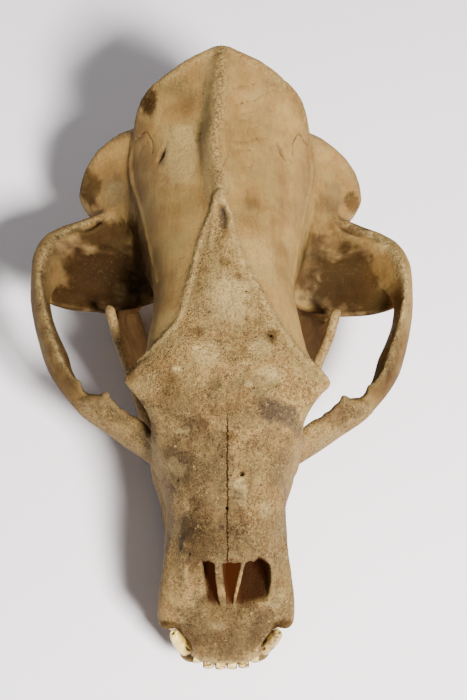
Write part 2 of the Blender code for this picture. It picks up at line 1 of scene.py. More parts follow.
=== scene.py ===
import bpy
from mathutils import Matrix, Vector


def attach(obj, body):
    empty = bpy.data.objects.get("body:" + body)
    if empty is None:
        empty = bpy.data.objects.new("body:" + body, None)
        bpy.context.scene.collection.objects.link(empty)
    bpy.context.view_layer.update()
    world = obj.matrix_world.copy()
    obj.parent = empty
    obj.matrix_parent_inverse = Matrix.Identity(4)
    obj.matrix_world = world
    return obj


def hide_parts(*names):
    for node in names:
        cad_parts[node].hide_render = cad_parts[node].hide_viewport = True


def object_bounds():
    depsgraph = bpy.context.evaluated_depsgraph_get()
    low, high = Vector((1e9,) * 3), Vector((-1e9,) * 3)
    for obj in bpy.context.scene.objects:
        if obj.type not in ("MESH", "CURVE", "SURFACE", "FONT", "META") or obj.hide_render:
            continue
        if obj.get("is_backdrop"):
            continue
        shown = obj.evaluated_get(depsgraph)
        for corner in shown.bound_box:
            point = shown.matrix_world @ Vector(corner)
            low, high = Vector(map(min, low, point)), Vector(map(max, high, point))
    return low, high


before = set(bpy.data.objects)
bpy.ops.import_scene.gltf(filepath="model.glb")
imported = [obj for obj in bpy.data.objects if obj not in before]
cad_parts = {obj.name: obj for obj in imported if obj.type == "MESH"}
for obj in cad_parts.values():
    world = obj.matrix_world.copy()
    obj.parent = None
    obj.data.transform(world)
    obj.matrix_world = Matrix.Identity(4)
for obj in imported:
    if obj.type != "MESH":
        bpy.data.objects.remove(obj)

import json
import math

import bmesh
import bpy
import numpy as np
from mathutils import Matrix, Vector

bounds_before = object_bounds()

# ---------------------------------------------------------------- dimensions
MM = 0.001
TOOTH_PLANE = 66.0
Y_CENTRE = 210.5
GREATEST_LENGTH = 424.0
ARCH_BREADTH = 283.0
CONDYLE_R = 9.6
CONDYLE_X = (57.0, 109.0)
CONDYLE_YZ = (281.0, -3.0)
F32 = np.float32


def to_world(p):
    """Table millimetres (n, 3) to metres."""
    q = np.empty_like(p)
    q[:, 0] = p[:, 0] * (MM * ARCH_BREADTH / 283.0)
    q[:, 1] = (p[:, 1] - Y_CENTRE) * (MM * GREATEST_LENGTH / 424.0)
    q[:, 2] = (p[:, 2] + TOOTH_PLANE) * MM
    return q


# ------------------------------------------------------------ sculpting tools
def smin(a, b, k):
    if k <= 0:
        return np.minimum(a, b)
    h = np.maximum(k - np.abs(a - b), 0) * (1.0 / k)
    return np.minimum(a, b) - h * h * (k * 0.25)


def smax(a, b, k):
    return -smin(-a, -b, k)


def ramp(x, a, b):
    """Smooth step from 0 at a to 1 at b."""
    t = np.clip((x - a) / (b - a), 0, 1)
    return t * t * (3 - 2 * t)


def pchip(ys, v, yq):
    """Shape-preserving cubic through rows of v at ys, read at yq."""
    ys = np.asarray(ys, float)
    v = np.asarray(v, float)
    h = np.diff(ys)
    d = np.diff(v, axis=0) / h[:, None]
    m = np.zeros_like(v)
    same = d[1:] * d[:-1] > 0
    w1 = (2 * h[1:] + h[:-1])[:, None]
    w2 = (h[1:] + 2 * h[:-1])[:, None]
    with np.errstate(divide="ignore", invalid="ignore"):
        hm = (w1 + w2) / (w1 / d[:-1] + w2 / d[1:])
    m[1:-1] = np.where(same, hm, 0)
    m[0], m[-1] = d[0], d[-1]
    yq = np.clip(yq, ys[0], ys[-1])
    i = np.clip(np.searchsorted(ys, yq) - 1, 0, len(ys) - 2)
    t = ((yq - ys[i]) / h[i])[:, None]
    hh = h[i][:, None]
    return ((2 * t ** 3 - 3 * t ** 2 + 1) * v[i] + (t ** 3 - 2 * t ** 2 + t) * hh * m[i]
            + (-2 * t ** 3 + 3 * t ** 2) * v[i + 1] + (t ** 3 - t ** 2) * hh * m[i + 1])


def curve_points(pts, n, closed=False, tension=0.5):
    """Catmull-Rom curve with n points for each span of pts (m, k)."""
    pts = np.asarray(pts, float)
    m = len(pts)
    out = []
    spans = m if closed else m - 1
    for i in range(spans):
        if closed:
            p0, p1, p2, p3 = (pts[(i + j) % m] for j in (-1, 0, 1, 2))
        else:
            p0, p1, p2, p3 = pts[max(i - 1, 0)], pts[i], pts[i + 1], pts[min(i + 2, m - 1)]
        for s in range(n):
            t = s / n
            a = tension * (p2 - p0)
            b = tension * (p3 - p1)
            out.append((2 * t ** 3 - 3 * t ** 2 + 1) * p1 + (t ** 3 - 2 * t ** 2 + t) * a
                       + (-2 * t ** 3 + 3 * t ** 2) * p2 + (t ** 3 - t ** 2) * b)
    if not closed:
        out.append(pts[-1])
    return np.array(out)


def outline_distance(poly, u, v, closed=True):
    """Signed distance (negative inside) to an outline in the (u, v) plane.

    An open outline starts and ends on u = 0 and closes along that axis."""
    a = poly
    b = np.roll(poly, -1, axis=0)
    if not closed:
        a, b = a[:-1], b[:-1]
    best = np.full(np.broadcast(u, v).shape, 1e9, F32)
    inside = np.zeros(best.shape, bool)
    for (ax, az), (bx, bz) in zip(a, b):
        ex, ez = bx - ax, bz - az
        den = ex * ex + ez * ez
        if den < 1e-9:
            continue
        du = u - F32(ax)
        dv = v - F32(az)
        t = np.clip((du * F32(ex) + dv * F32(ez)) * F32(1 / den), 0, 1)
        best = np.minimum(best, (du - t * F32(ex)) ** 2 + (dv - t * F32(ez)) ** 2)
        if abs(ez) > 1e-9:
            hit = ((az > v) != (bz > v)) & (u < ax + (v - az) * (ex / ez))
            inside ^= hit
    best = np.sqrt(best)
    return np.where(inside, -best, best)


class Clay:
    """A block of distance values that shapes are added to and cut from."""

    def __init__(self, lo, hi, h):
        self.lo = np.array(lo, float)
        self.h = h
        n = [int(math.ceil((b - a) / h)) + 1 for a, b in zip(lo, hi)]
        self.ax = [(lo[i] + h * np.arange(n[i])).astype(F32) for i in range(3)]
        self.f = np.full(n, 40.0, F32)
        self.dent = None

    def part(self, lo, hi):
        s = []
        for i in range(3):
            a = max(0, int(math.floor((lo[i] - self.lo[i]) / self.h)))
            b = min(self.f.shape[i], int(math.ceil((hi[i] - self.lo[i]) / self.h)) + 1)
            s.append(slice(a, max(a, b)))
        return (tuple(s), self.ax[0][s[0]][:, None, None], self.ax[1][s[1]][None, :, None],
                self.ax[2][s[2]][None, None, :])

    def put(self, s, d, op, k):
        if op == "add":
            self.f[s] = smin(self.f[s], d, k)
        elif op == "cut":
            self.f[s] = smax(self.f[s], -d, k)
        else:
            self.f[s] = smax(self.f[s], d, k)

    def ellipsoid(self, c, r, op="add", k=2.0, tilt=0.0):
        """tilt turns it about the y axis (degrees)."""
        R = max(r) + k + 2
        s, X, Y, Z = self.part([q - R for q in c], [q + R for q in c])
        x, y, z = X - c[0], Y - c[1], Z - c[2]
        if tilt:
            ca, sa = math.cos(math.radians(tilt)), math.sin(math.radians(tilt))
            x, z = x * ca + z * sa, -x * sa + z * ca
        k0 = np.sqrt((x / r[0]) ** 2 + (y / r[1]) ** 2 + (z / r[2]) ** 2)
        k1 = np.sqrt((x / r[0] ** 2) ** 2 + (y / r[1] ** 2) ** 2 + (z / r[2] ** 2) ** 2) + 1e-6
        self.put(s, k0 * (k0 - 1) / k1, op, k)

    def tube(self, pts, op="add", k=2.0, flat=None):
        """Rounded chain through (x, y, z, r); flat squeezes it in (x, y, z)."""
        pts = np.asarray(pts, float)
        R = pts[:, 3].max() + k + 2
        s, X, Y, Z = self.part(pts[:, :3].min(0) - R, pts[:, :3].max(0) + R)
        best = None
        sq = flat or (1, 1, 1)
        for p, q in zip(pts[:-1], pts[1:]):
            e = [(q[i] - p[i]) * sq[i] for i in range(3)]
            den = sum(c * c for c in e) + 1e-9
            dx, dy, dz = (X - p[0]) * sq[0], (Y - p[1]) * sq[1], (Z - p[2]) * sq[2]
            t = np.clip((dx * e[0] + dy * e[1] + dz * e[2]) / den, 0, 1)
            d = np.sqrt((dx - t * e[0]) ** 2 + (dy - t * e[1]) ** 2 + (dz - t * e[2]) ** 2) - (
                p[3] + t * (q[3] - p[3]))
            best = d if best is None else np.minimum(best, d)
        self.put(s, best.astype(F32), op, k)

    def groove(self, pts, width, depth):
        """Shallow line of the given width and depth along (x, y, z) points."""
        pts = np.asarray(pts, float)
        R = width * 2.5 + 1
        for p, q in zip(pts[:-1], pts[1:]):
            s, X, Y, Z = self.part(np.minimum(p, q) - R, np.maximum(p, q) + R)
            e = q - p
            den = float(e @ e) + 1e-9
            dx, dy, dz = X - p[0], Y - p[1], Z - p[2]
            t = np.clip((dx * e[0] + dy * e[1] + dz * e[2]) / den, 0, 1)
            d2 = (dx - t * e[0]) ** 2 + (dy - t * e[1]) ** 2 + (dz - t * e[2]) ** 2
            bump = (depth * np.exp(-d2 / (width * width))).astype(F32)
            if self.dent is None:
                self.dent = np.zeros(self.f.shape, F32)
            self.dent[s] = np.maximum(self.dent[s], bump)

    def settle(self):
        """Turns the values near the surface into true distances."""
        gx, gy, gz = np.gradient(self.f, self.h)
        g = np.sqrt(gx * gx + gy * gy + gz * gz)
        self.f = np.clip(self.f / np.clip(g, 0.55, 12.0), -12, 12).astype(F32)

    def soften(self, times=1):
        f = self.f
        for _ in range(times):
            for a in range(3):
                p = np.concatenate((np.take(f, [0], a), f, np.take(f, [-1], a)), a)
                n = f.shape[a]
                i0 = [slice(None)] * 3
                i1 = [slice(None)] * 3
                i2 = [slice(None)] * 3
                i0[a], i1[a], i2[a] = slice(0, n), slice(1, n + 1), slice(2, n + 2)
                f = 0.25 * p[tuple(i0)] + 0.5 * p[tuple(i1)] + 0.25 * p[tuple(i2)]
        self.f = f

    def mirror(self):
        """The half for x >= 0 becomes a whole."""
        assert abs(self.lo[0]) < 1e-6
        self.f = np.concatenate((self.f[:0:-1], self.f), 0)
        self.ax[0] = np.concatenate((-self.ax[0][:0:-1], self.ax[0]))
        self.lo = np.array([self.ax[0][0], self.lo[1], self.lo[2]], float)

    def read(self, grid, p):
        """Trilinear values of grid at the points p (n, 3)."""
        q = (p - self.lo) / self.h
        n = np.array(grid.shape)
        q = np.clip(q, 0, n - 1.001)
        i = q.astype(np.int32)
        t = (q - i).astype(F32)
        out = 0
        for dx in (0, 1):
            wx = t[:, 0] if dx else 1 - t[:, 0]
            for dy in (0, 1):
                wy = t[:, 1] if dy else 1 - t[:, 1]
                for dz in (0, 1):
                    wz = t[:, 2] if dz else 1 - t[:, 2]
                    out = out + wx * wy * wz * grid[i[:, 0] + dx, i[:, 1] + dy, i[:, 2] + dz]
        return out

    def skin(self):
        """Quad surface where the values change sign (surface nets)."""
        f = self.f
        s = f < 0
        n = s.shape
        c = np.zeros((n[0] - 1, n[1] - 1, n[2] - 1), np.uint8)
        for dx in (0, 1):
            for dy in (0, 1):
                for dz in (0, 1):
                    c += s[dx:n[0] - 1 + dx, dy:n[1] - 1 + dy, dz:n[2] - 1 + dz]
        act = (c > 0) & (c < 8)
        idx = np.full(c.shape, -1, np.int32)
        ijk = np.argwhere(act)
        idx[act] = np.arange(len(ijk), dtype=np.int32)
        i, j, k = ijk.T
        corners = [(a, b, d) for a in (0, 1) for b in (0, 1) for d in (0, 1)]
        vals = [f[i + a, j + b, k + d] for a, b, d in corners]
        acc = np.zeros((len(ijk), 3))
        cnt = np.zeros(len(ijk))
        for m, ca in enumerate(corners):
            for o, cb in enumerate(corners):
                if o > m and sum(abs(x - y) for x, y in zip(ca, cb)) == 1:
                    fa, fb = vals[m], vals[o]
                    hit = (fa < 0) != (fb < 0)
                    den = np.where(hit, fa - fb, 1)
                    t = np.where(hit, fa / den, 0)
                    for q in range(3):
                        acc[:, q] += np.where(hit, ca[q] + t * (cb[q] - ca[q]), 0)
                    cnt += hit
        pos = self.lo + self.h * (ijk + acc / cnt[:, None])
        quads = []
        e = s[:-1, 1:-1, 1:-1] != s[1:, 1:-1, 1:-1]
        i, j, k = np.argwhere(e).T
        j, k = j + 1, k + 1
        q = np.stack((idx[i, j - 1, k - 1], idx[i, j, k - 1], idx[i, j, k], idx[i, j - 1, k]), 1)
        flip = ~s[i, j, k]
        q[flip] = q[flip][:, ::-1]
        quads.append(q)
        e = s[1:-1, :-1, 1:-1] != s[1:-1, 1:, 1:-1]
        i, j, k = np.argwhere(e).T
        i, k = i + 1, k + 1
        q = np.stack((idx[i - 1, j, k - 1], idx[i - 1, j, k], idx[i, j, k], idx[i, j, k - 1]), 1)
        flip = ~s[i, j, k]
        q[flip] = q[flip][:, ::-1]
        quads.append(q)
        e = s[1:-1, 1:-1, :-1] != s[1:-1, 1:-1, 1:]
        i, j, k = np.argwhere(e).T
        i, j = i + 1, j + 1
        q = np.stack((idx[i - 1, j - 1, k], idx[i, j - 1, k], idx[i, j, k], idx[i - 1, j, k]), 1)
        flip = ~s[i, j, k]
        q[flip] = q[flip][:, ::-1]
        quads.append(q)
        return pos, np.concatenate(quads)


def smooth_points(pos, quads, times=1, amount=0.5):
    a = quads.ravel()
    b = np.roll(quads, -1, axis=1).ravel()
    n = len(pos)
    deg = np.bincount(a, minlength=n) + np.bincount(b, minlength=n)
    for _ in range(times):
        for w in (amount, -amount * 1.03):
            s = np.empty_like(pos)
            for q in range(3):
                s[:, q] = np.bincount(a, pos[b, q], n) + np.bincount(b, pos[a, q], n)
            s /= np.maximum(deg, 1)[:, None]
            pos = pos + w * (s - pos)
    return pos


def point_normals(pos, quads):
    d1 = pos[quads[:, 2]] - pos[quads[:, 0]]
    d2 = pos[quads[:, 3]] - pos[quads[:, 1]]
    fn = np.cross(d1, d2)
    out = np.zeros_like(pos)
    for q in range(3):
        for c in range(4):
            out[:, q] += np.bincount(quads[:, c], fn[:, q], len(pos))
    return out / np.maximum(np.linalg.norm(out, axis=1), 1e-9)[:, None]


def hash3(i, j, k, seed):
    h = (i * 374761393 + j * 668265263 + k * 1274126177 + seed * 974634777) & 0xFFFFFFFF
    h = ((h ^ (h >> 13)) * 1103515245) & 0xFFFFFFFF
    h = ((h ^ (h >> 16)) * 2246822519) & 0xFFFFFFFF
    return (h ^ (h >> 15)) & 0xFFFFFFFF


def noise(p, size, seed=0):
    """Smooth random values, about -1 to 1, of the given grain size in mm."""
    q = p / size
    i = np.floor(q).astype(np.int64)
    t = q - i
    u = t * t * t * (t * (t * 6 - 15) + 10)
    out = 0
    for dx in (0, 1):
        for dy in (0, 1):
            for dz in (0, 1):
                h = hash3(i[:, 0] + dx, i[:, 1] + dy, i[:, 2] + dz, seed)
                g1 = (h & 1023) / 511.5 - 1
                g2 = ((h >> 10) & 1023) / 511.5 - 1
                g3 = ((h >> 20) & 1023) / 511.5 - 1
                w = ((u[:, 0] if dx else 1 - u[:, 0]) * (u[:, 1] if dy else 1 - u[:, 1])
                     * (u[:, 2] if dz else 1 - u[:, 2]))
                out = out + w * (g1 * (t[:, 0] - dx) + g2 * (t[:, 1] - dy) + g3 * (t[:, 2] - dz))
    return out * 1.5


def fbm(p, size, octaves=3, seed=0, gain=0.5):
    out, amp, tot = 0, 1.0, 0.0
    for o in range(octaves):
        out = out + amp * noise(p, size / 2 ** o, seed + 17 * o)
        tot += amp
        amp *= gain
    return out / tot


def line_distance(p, pts):
    """Distance of each point in p to the polyline pts."""
    pts = np.asarray(pts, float)
    best = np.full(len(p), 1e9)
    for a, b in zip(pts[:-1], pts[1:]):
        e = b - a
        t = np.clip(((p - a) @ e) / (e @ e + 1e-9), 0, 1)
        d = p - a - t[:, None] * e
        best = np.minimum(best, np.einsum("ij,ij->i", d, d))
    return np.sqrt(best)


def mesh_object(name, pos, quads, target=None):
    """Mesh object from table points; thinned to about target triangles."""
    me = bpy.data.meshes.new(name)
    v = to_world(np.asarray(pos, float))
    m = len(quads)
    me.vertices.add(len(v))
    me.vertices.foreach_set("co", v.astype(F32).ravel())
    me.loops.add(m * 4)
    me.loops.foreach_set("vertex_index", quads.astype(np.int32).ravel())
    me.polygons.add(m)
    me.polygons.foreach_set("loop_start", (np.arange(m) * 4).astype(np.int32))
    me.update(calc_edges=True)
    ob = bpy.data.objects.new(name, me)
    bpy.context.scene.collection.objects.link(ob)
    if target and m * 2 > target:
        mod = ob.modifiers.new("thin", "DECIMATE")
        mod.decimate_type = "COLLAPSE"
        mod.ratio = target / (m * 2.0)
        dg = bpy.context.evaluated_depsgraph_get()
        dg.update()
        new = bpy.data.meshes.new_from_object(ob.evaluated_get(dg))
        ob.modifiers.clear()
        ob.data = new
        bpy.data.meshes.remove(me)
        new.name = name
    ob.data.polygons.foreach_set("use_smooth", np.ones(len(ob.data.polygons), bool))
    ob.data.update()
    return ob


def table_points(ob):
    n = len(ob.data.vertices)
    v = np.empty(n * 3, F32)
    ob.data.vertices.foreach_get("co", v)
    v = v.reshape(-1, 3).astype(float)
    nm = np.empty(n * 3, F32)
    ob.data.vertices.foreach_get("normal", nm)
    p = np.empty_like(v)
    p[:, 0] = v[:, 0] / (MM * ARCH_BREADTH / 283.0)
    p[:, 1] = v[:, 1] / (MM * GREATEST_LENGTH / 424.0) + Y_CENTRE
    p[:, 2] = v[:, 2] / MM - TOOTH_PLANE
    return p, nm.reshape(-1, 3).astype(float)


def set_mask(ob, name, r, g, b, a):
    """Four masks, 0 to 1, kept at the vertices for the material."""
    at = ob.data.color_attributes.new(name, "FLOAT_COLOR", "POINT")
    data = np.clip(np.stack((r, g, b, a), 1), 0, 1).astype(F32)
    at.data.foreach_set("color", data.ravel())


def blurred(a, cells):
    """Mean of a over a box of 2 * cells + 1 in each direction."""
    for ax in range(3):
        pad = [(0, 0)] * 3
        pad[ax] = (cells + 1, cells)
        c = np.cumsum(np.pad(a, pad, mode="edge"), axis=ax, dtype=np.float64).astype(F32)
        n = a.shape[ax]
        hi = [slice(None)] * 3
        lo = [slice(None)] * 3
        hi[ax], lo[ax] = slice(2 * cells + 1, 2 * cells + 1 + n), slice(0, n)
        a = (c[tuple(hi)] - c[tuple(lo)]) / F32(2 * cells + 1)
    return a


def biggest_part(pos, quads):
    """Leaves out any bits that hang loose from the main surface."""
    a = quads.ravel()
    b = np.roll(quads, -1, axis=1).ravel()
    lab = np.arange(len(pos))
    while True:
        new = lab.copy()
        np.minimum.at(new, a, lab[b])
        np.minimum.at(new, b, lab[a])
        new = new[new]
        new = new[new]
        if (new == lab).all():
            break
        lab = new
    counts = np.bincount(lab, minlength=len(pos))
    keep = lab == counts.argmax()
    renum = np.cumsum(keep) - 1
    return pos[keep], renum[quads[keep[quads[:, 0]]]]


def cells_noise(p, size, seed=0):
    """Distance in mm to the nearest of scattered spots, and that spot's own value."""
    q = p / size
    base = np.floor(q).astype(np.int64)
    best = np.full(len(p), 9.0)
    who = np.zeros(len(p))
    for dx in (-1, 0, 1):
        for dy in (-1, 0, 1):
            for dz in (-1, 0, 1):
                c = base + (dx, dy, dz)
                h = hash3(c[:, 0], c[:, 1], c[:, 2], seed)
                f = c + np.stack(((h & 1023) / 1023., ((h >> 10) & 1023) / 1023.,
                                  ((h >> 20) & 1023) / 1023.), 1)
                d = np.linalg.norm(q - f, axis=1)
                near = d < best
                best = np.where(near, d, best)
                who = np.where(near, (h % 997) / 997.0, who)
    return best * size, who


def warp(p):
    """The skull isn't quite even: its crest bends and one side sits forward."""
    q = p.copy()
    off = pchip((270, 292, 307, 322, 338, 350, 365, 380, 400, 424),
                np.array((0, -1, -3, -4, -7, -8, -5.5, -4.5, -3, -1.5))[:, None], p[:, 1])[:, 0]
    off = np.where(p[:, 1] < 270, 0, off)
    q[:, 0] += off * ramp(p[:, 2], 98, 121) * np.exp(-(p[:, 0] / 20.0) ** 2)
    q[:, 1] -= 0.018 * p[:, 0] * ramp(np.abs(p[:, 0]), 25, 75)
    lobe = np.exp(-(((p[:, 0] - 104) / 22) ** 2 + ((p[:, 1] - 364) / 24) ** 2 + ((p[:, 2] - 26) / 26) ** 2))
    q[:, 0] += 3.4 * lobe
    q[:, 0] += 2.2 * np.exp(-(((p[:, 0] - 27) / 9) ** 2 + ((p[:, 1] - 50) / 16) ** 2 + ((p[:, 2] - 45) / 25) ** 2))
    q[:, 1] += 1.5 * lobe
    return q


# ------------------------------------------------------------ shape tables
# Half outlines (x, z) of the case and the snout at each y.
CORE = {
    4: ((0, 6), (4, 6), (8, 5.6), (12, 5), (15, 4), (17, 2.6), (18, 1), (17.5, -1), (16, -2.5), (14, -3), (12, -3.2), (10, -3.3), (8, -3.4), (5, -3.5), (2, -3.5), (0, -3.5)),
    9: ((0, 10.5), (6, 10.3), (12, 9.5), (17, 8), (21, 6), (24, 4), (26, 1.5), (26, -1), (24, -3), (21, -3.5), (18, -3), (14, -1), (10, .5), (6, 1.5), (3, 2), (0, 2)),
    16: ((0, 17), (7, 16.6), (14, 15), (20, 12.5), (25, 9.5), (28.5, 6.5), (30.5, 3.5), (31, .5), (29.5, -2), (27, -3), (23, -2), (18, 1), (13, 3), (8, 4.2), (4, 4.8), (0, 5)),
    24: ((0, 24), (8, 23.5), (16, 21.5), (23, 18.5), (29, 14.5), (33.5, 10.5), (36, 6.5), (37, 2.5), (36, -1), (33, -2.4), (27, -1), (21, 2), (15, 4), (9, 5.4), (4, 5.9), (0, 6)),
    31: ((0, 29.5), (9, 29), (18, 27), (26, 23.5), (33, 19.5), (39.5, 15), (44, 10), (45.5, 5), (44.5, .5), (41, -1.5), (32, 0), (24, 2.8), (17, 4.8), (10, 6), (5, 6.4), (0, 6.5)),
    38: ((0, 33), (9, 33), (19, 32), (28, 30), (35, 26.5), (42, 21), (46, 14.5), (47, 8), (46, 2), (43, -1), (34, 0), (25, 3), (17, 5), (10, 6.2), (5, 6.6), (0, 6.7)),
    46: ((0, 45), (9, 44.5), (18, 43), (26, 40), (33, 35.5), (40, 28.5), (45, 20.5), (47, 12), (46.5, 4), (44, -1), (35, .5), (26, 3.4), (18, 5.2), (10, 6.3), (5, 6.8), (0, 7)),
    53: ((0, 58), (9, 57.5), (18, 56), (25.5, 51.5), (32, 44.5), (39, 35.5), (44, 26), (46.5, 15.5), (46.5, 5), (44, -.8), (35, .8), (26, 3.7), (18, 5.4), (10, 6.5), (5, 7), (0, 7.2)),
    60: ((0, 68), (9, 68), (17, 66.5), (24, 61.5), (31, 53), (38, 42.5), (43, 31), (45.5, 18.5), (45.5, 6), (43.5, -.6), (35, 1), (26, 4), (18, 5.6), (10, 6.8), (5, 7.3), (0, 7.5)),
    70: ((0, 71.5), (9, 71.3), (17.5, 69.5), (25.5, 64.5), (32.5, 56), (38.5, 45.5), (42.5, 34), (44, 21), (43.8, 8), (42, -.4), (34, 1.2), (26, 4.3), (18, 6), (10, 7.2), (5, 7.7), (0, 8)),
    85: ((0, 77), (9.5, 76.7), (19, 74.5), (27.5, 69), (34.5, 60), (39.5, 49), (42.5, 37), (43.5, 23.5), (43, 9.5), (41, -.2), (33, 1.5), (26, 4.7), (18, 6.4), (10, 7.8), (5, 8.3), (0, 8.5)),
    105: ((0, 86), (10, 85.8), (20, 83.8), (29.5, 78.5), (36.5, 69.5), (40.3, 57.5), (41.8, 44), (41.8, 28), (40.8, 12), (41.6, .5), (33, 1.8), (26, 5), (18, 7), (10, 8.5), (5, 9.2), (0, 9.4)),
    120: ((0, 92), (11, 92), (22, 90), (32, 85), (39.5, 76), (43.7, 63.5), (45.8, 49), (45, 32), (43.8, 14), (45.0, 1), (35, 2), (27, 5.5), (18, 7.6), (10, 9.2), (5, 9.9), (0, 10)),
    133: ((0, 98), (12, 98.2), (24, 96.5), (35.5, 91.5), (44, 82.5), (49, 69.5), (51.8, 54), (50.8, 36), (48.6, 17), (49.8, 1.5), (37, 2.4), (28, 6), (18, 8.2), (10, 9.8), (5, 10.4), (0, 10.6)),
    146: ((0, 103.5), (13, 104), (27, 102.5), (40, 97), (49, 87.5), (53, 74), (52, 57), (48, 40), (49.5, 20), (52, 2), (39, 2.8), (29, 6.4), (18, 8.6), (10, 10.2), (5, 10.8), (0, 11)),
    158: ((0, 107.5), (14, 108.3), (31, 106.8), (46, 101), (56, 91.5), (52, 78), (42, 62), (40, 44), (48, 22), (52.5, 2.5), (39, 3.2), (29, 6.8), (18, 9), (10, 10.6), (5, 11.2), (0, 11.4)),
    170: ((0, 110), (16, 111.2), (35, 109.8), (52, 103.5), (65, 94.5), (57, 83), (40, 67), (36, 48), (45, 24), (52, 3), (39, 3.6), (29, 7), (18, 9.4), (10, 11), (5, 11.6), (0, 11.8)),
    178: ((0, 111), (17, 112.6), (38, 111), (57, 104), (71.5, 95.5), (62, 86), (42, 70), (35.5, 50), (43, 26), (51, 3.5), (38, 4), (29, 7.4), (18, 9.8), (10, 11.4), (5, 12), (0, 12)),
    187: ((0, 112), (17, 113.8), (37, 112), (54, 105.5), (64.5, 96.5), (58, 85.5), (44, 69), (37, 50), (39, 28), (49, 4), (36, 4.6), (28, 7.6), (18, 10), (10, 11.8), (5, 12.4), (0, 12.5)),
    198: ((0, 112.5), (16, 114.4), (34, 112.4), (48, 106), (57, 95.5), (56, 82), (48, 66), (40, 49), (35, 33), (40, 9), (32, 6), (26, 7), (18, 10), (10, 12), (5, 12.8), (0, 13)),
    212: ((0, 113.5), (15, 115), (30, 112.5), (43, 106), (53, 94.5), (55, 80), (49, 64), (41.5, 49), (35, 36), (30, 24), (27, 8), (22, 5), (17, 10), (10, 16), (5, 18), (0, 18.5)),
    230: ((0, 116), (12, 117), (24, 114), (38, 107), (49, 94), (52.5, 78), (49.5, 63), (43, 50), (36, 39), (31, 29), (27, 9), (23, 3), (18, 12), (10, 21), (5, 23), (0, 23.5)),
    248: ((0, 118.5), (10, 118.5), (20, 114.5), (35, 106), (46, 93), (50.5, 77), (50, 61), (46, 48), (40, 38), (34, 31), (27, 15), (23, 8), (19, 16), (10, 22.5), (5, 24), (0, 24)),
    264: ((0, 120.5), (7, 119), (18, 114.5), (33, 105.5), (45, 92), (50.5, 76), (51.5, 60), (50, 46), (46, 37), (40, 29), (32, 22), (24, 17), (18, 18), (10, 21), (5, 22), (0, 22)),
    282: ((0, 122), (5, 119), (16, 114.3), (32, 105), (45, 91.5), (52.5, 75), (56, 59), (57, 45), (55, 34), (48, 24), (40, 14), (30, 11), (20, 13), (10, 17), (5, 18), (0, 18)),
    300: ((0, 123.5), (4.5, 119), (15, 114), (32, 104.5), (47, 90.5), (56, 74), (60, 58), (62, 45), (62, 33), (56, 20), (48, 7), (36, 4), (22, 9), (11, 14), (5, 15), (0, 15)),
    318: ((0, 125.5), (4.5, 119), (15, 113.7), (33, 104), (48.5, 89.5), (58.5, 72.5), (63.5, 57), (67, 46), (70, 34), (68, 20), (56, 7), (40, 2), (24, 8), (12, 12), (5, 13), (0, 13)),
    334: ((0, 128), (4.5, 119.5), (15, 113.6), (34, 103.5), (50, 88.5), (60.5, 71.5), (66, 57), (74, 46), (90, 32), (92, 16), (70, 6), (46, 3), (26, 8), (12, 11), (5, 12), (0, 12)),
    346: ((0, 129.5), (4.5, 120), (15, 113.8), (34.5, 103.5), (51, 88), (61.5, 71), (67.5, 57), (79, 45.5), (100, 27), (101, 10), (80, 0), (50, 5), (28, 8), (12, 10), (5, 11), (0, 11)),
    360: ((0, 131), (5, 121), (16, 114.4), (36, 104), (52.5, 88), (62.5, 71), (69, 57), (83, 46), (106, 25), (106, 6), (88, -8), (56, 4), (32, 7), (12, 9.5), (5, 10.4), (0, 10.5)),
    372: ((0, 132), (5, 122), (17, 115.6), (38, 105.5), (54.5, 90), (63.5, 74), (69, 60), (82, 50), (103, 33), (102, 10), (86, -4), (62, 0), (36, 7), (14, 10), (5, 10.8), (0, 11)),
    383: ((0, 132.5), (6, 123.5), (20, 118), (41, 109), (57.5, 95), (65, 81), (68, 68), (79, 60), (94, 46), (92, 22), (76, 6), (60, -4), (38, 8), (16, 12), (6, 13), (0, 13)),
    391: ((0, 133), (7, 125.5), (22, 120.5), (42, 112.5), (57, 102), (62, 94), (62, 80), (66, 68), (76, 58), (72, 36), (58, 16), (48, 6), (34, 14), (18, 24), (8, 28), (0, 30)),
    398: ((0, 133.3), (7, 127), (22, 122), (40, 115), (54, 107), (58, 102), (55, 90), (50, 77), (48, 66), (46, 54), (42, 44), (34, 40), (26, 42), (16, 46), (8, 48), (0, 50)),
    406: ((0, 133.7), (7, 128.5), (20, 124), (35, 118), (46, 112), (50, 108), (47, 99), (42, 90), (37, 83), (32, 78), (26, 74), (20, 72), (14, 71), (9, 70.5), (4, 70), (0, 70)),
    414: ((0, 134), (6, 130), (14, 127.5), (23, 124.5), (31, 121), (34, 118), (33, 113), (30, 109), (26, 105), (22, 102), (18, 100), (14, 98.5), (10, 97.5), (7, 97), (3, 96.5), (0, 96.5)),
    420: ((0, 134), (4, 131.5), (9, 130), (14, 129), (17, 127.5), (18, 126), (17.5, 123.5), (16, 121.5), (14, 119.5), (12, 118), (10, 117), (8, 116.3), (6, 115.8), (4, 115.5), (2, 115.3), (0, 115.2)),
    424: ((0, 134), (2, 133), (4, 132.4), (5.5, 131.8), (6.5, 131), (7, 130.2), (7, 129.3), (6.5, 128.5), (6, 127.9), (5, 127.4), (4, 127), (3.2, 126.8), (2.4, 126.6), (1.6, 126.5), (.8, 126.4), (0, 126.4)),
}

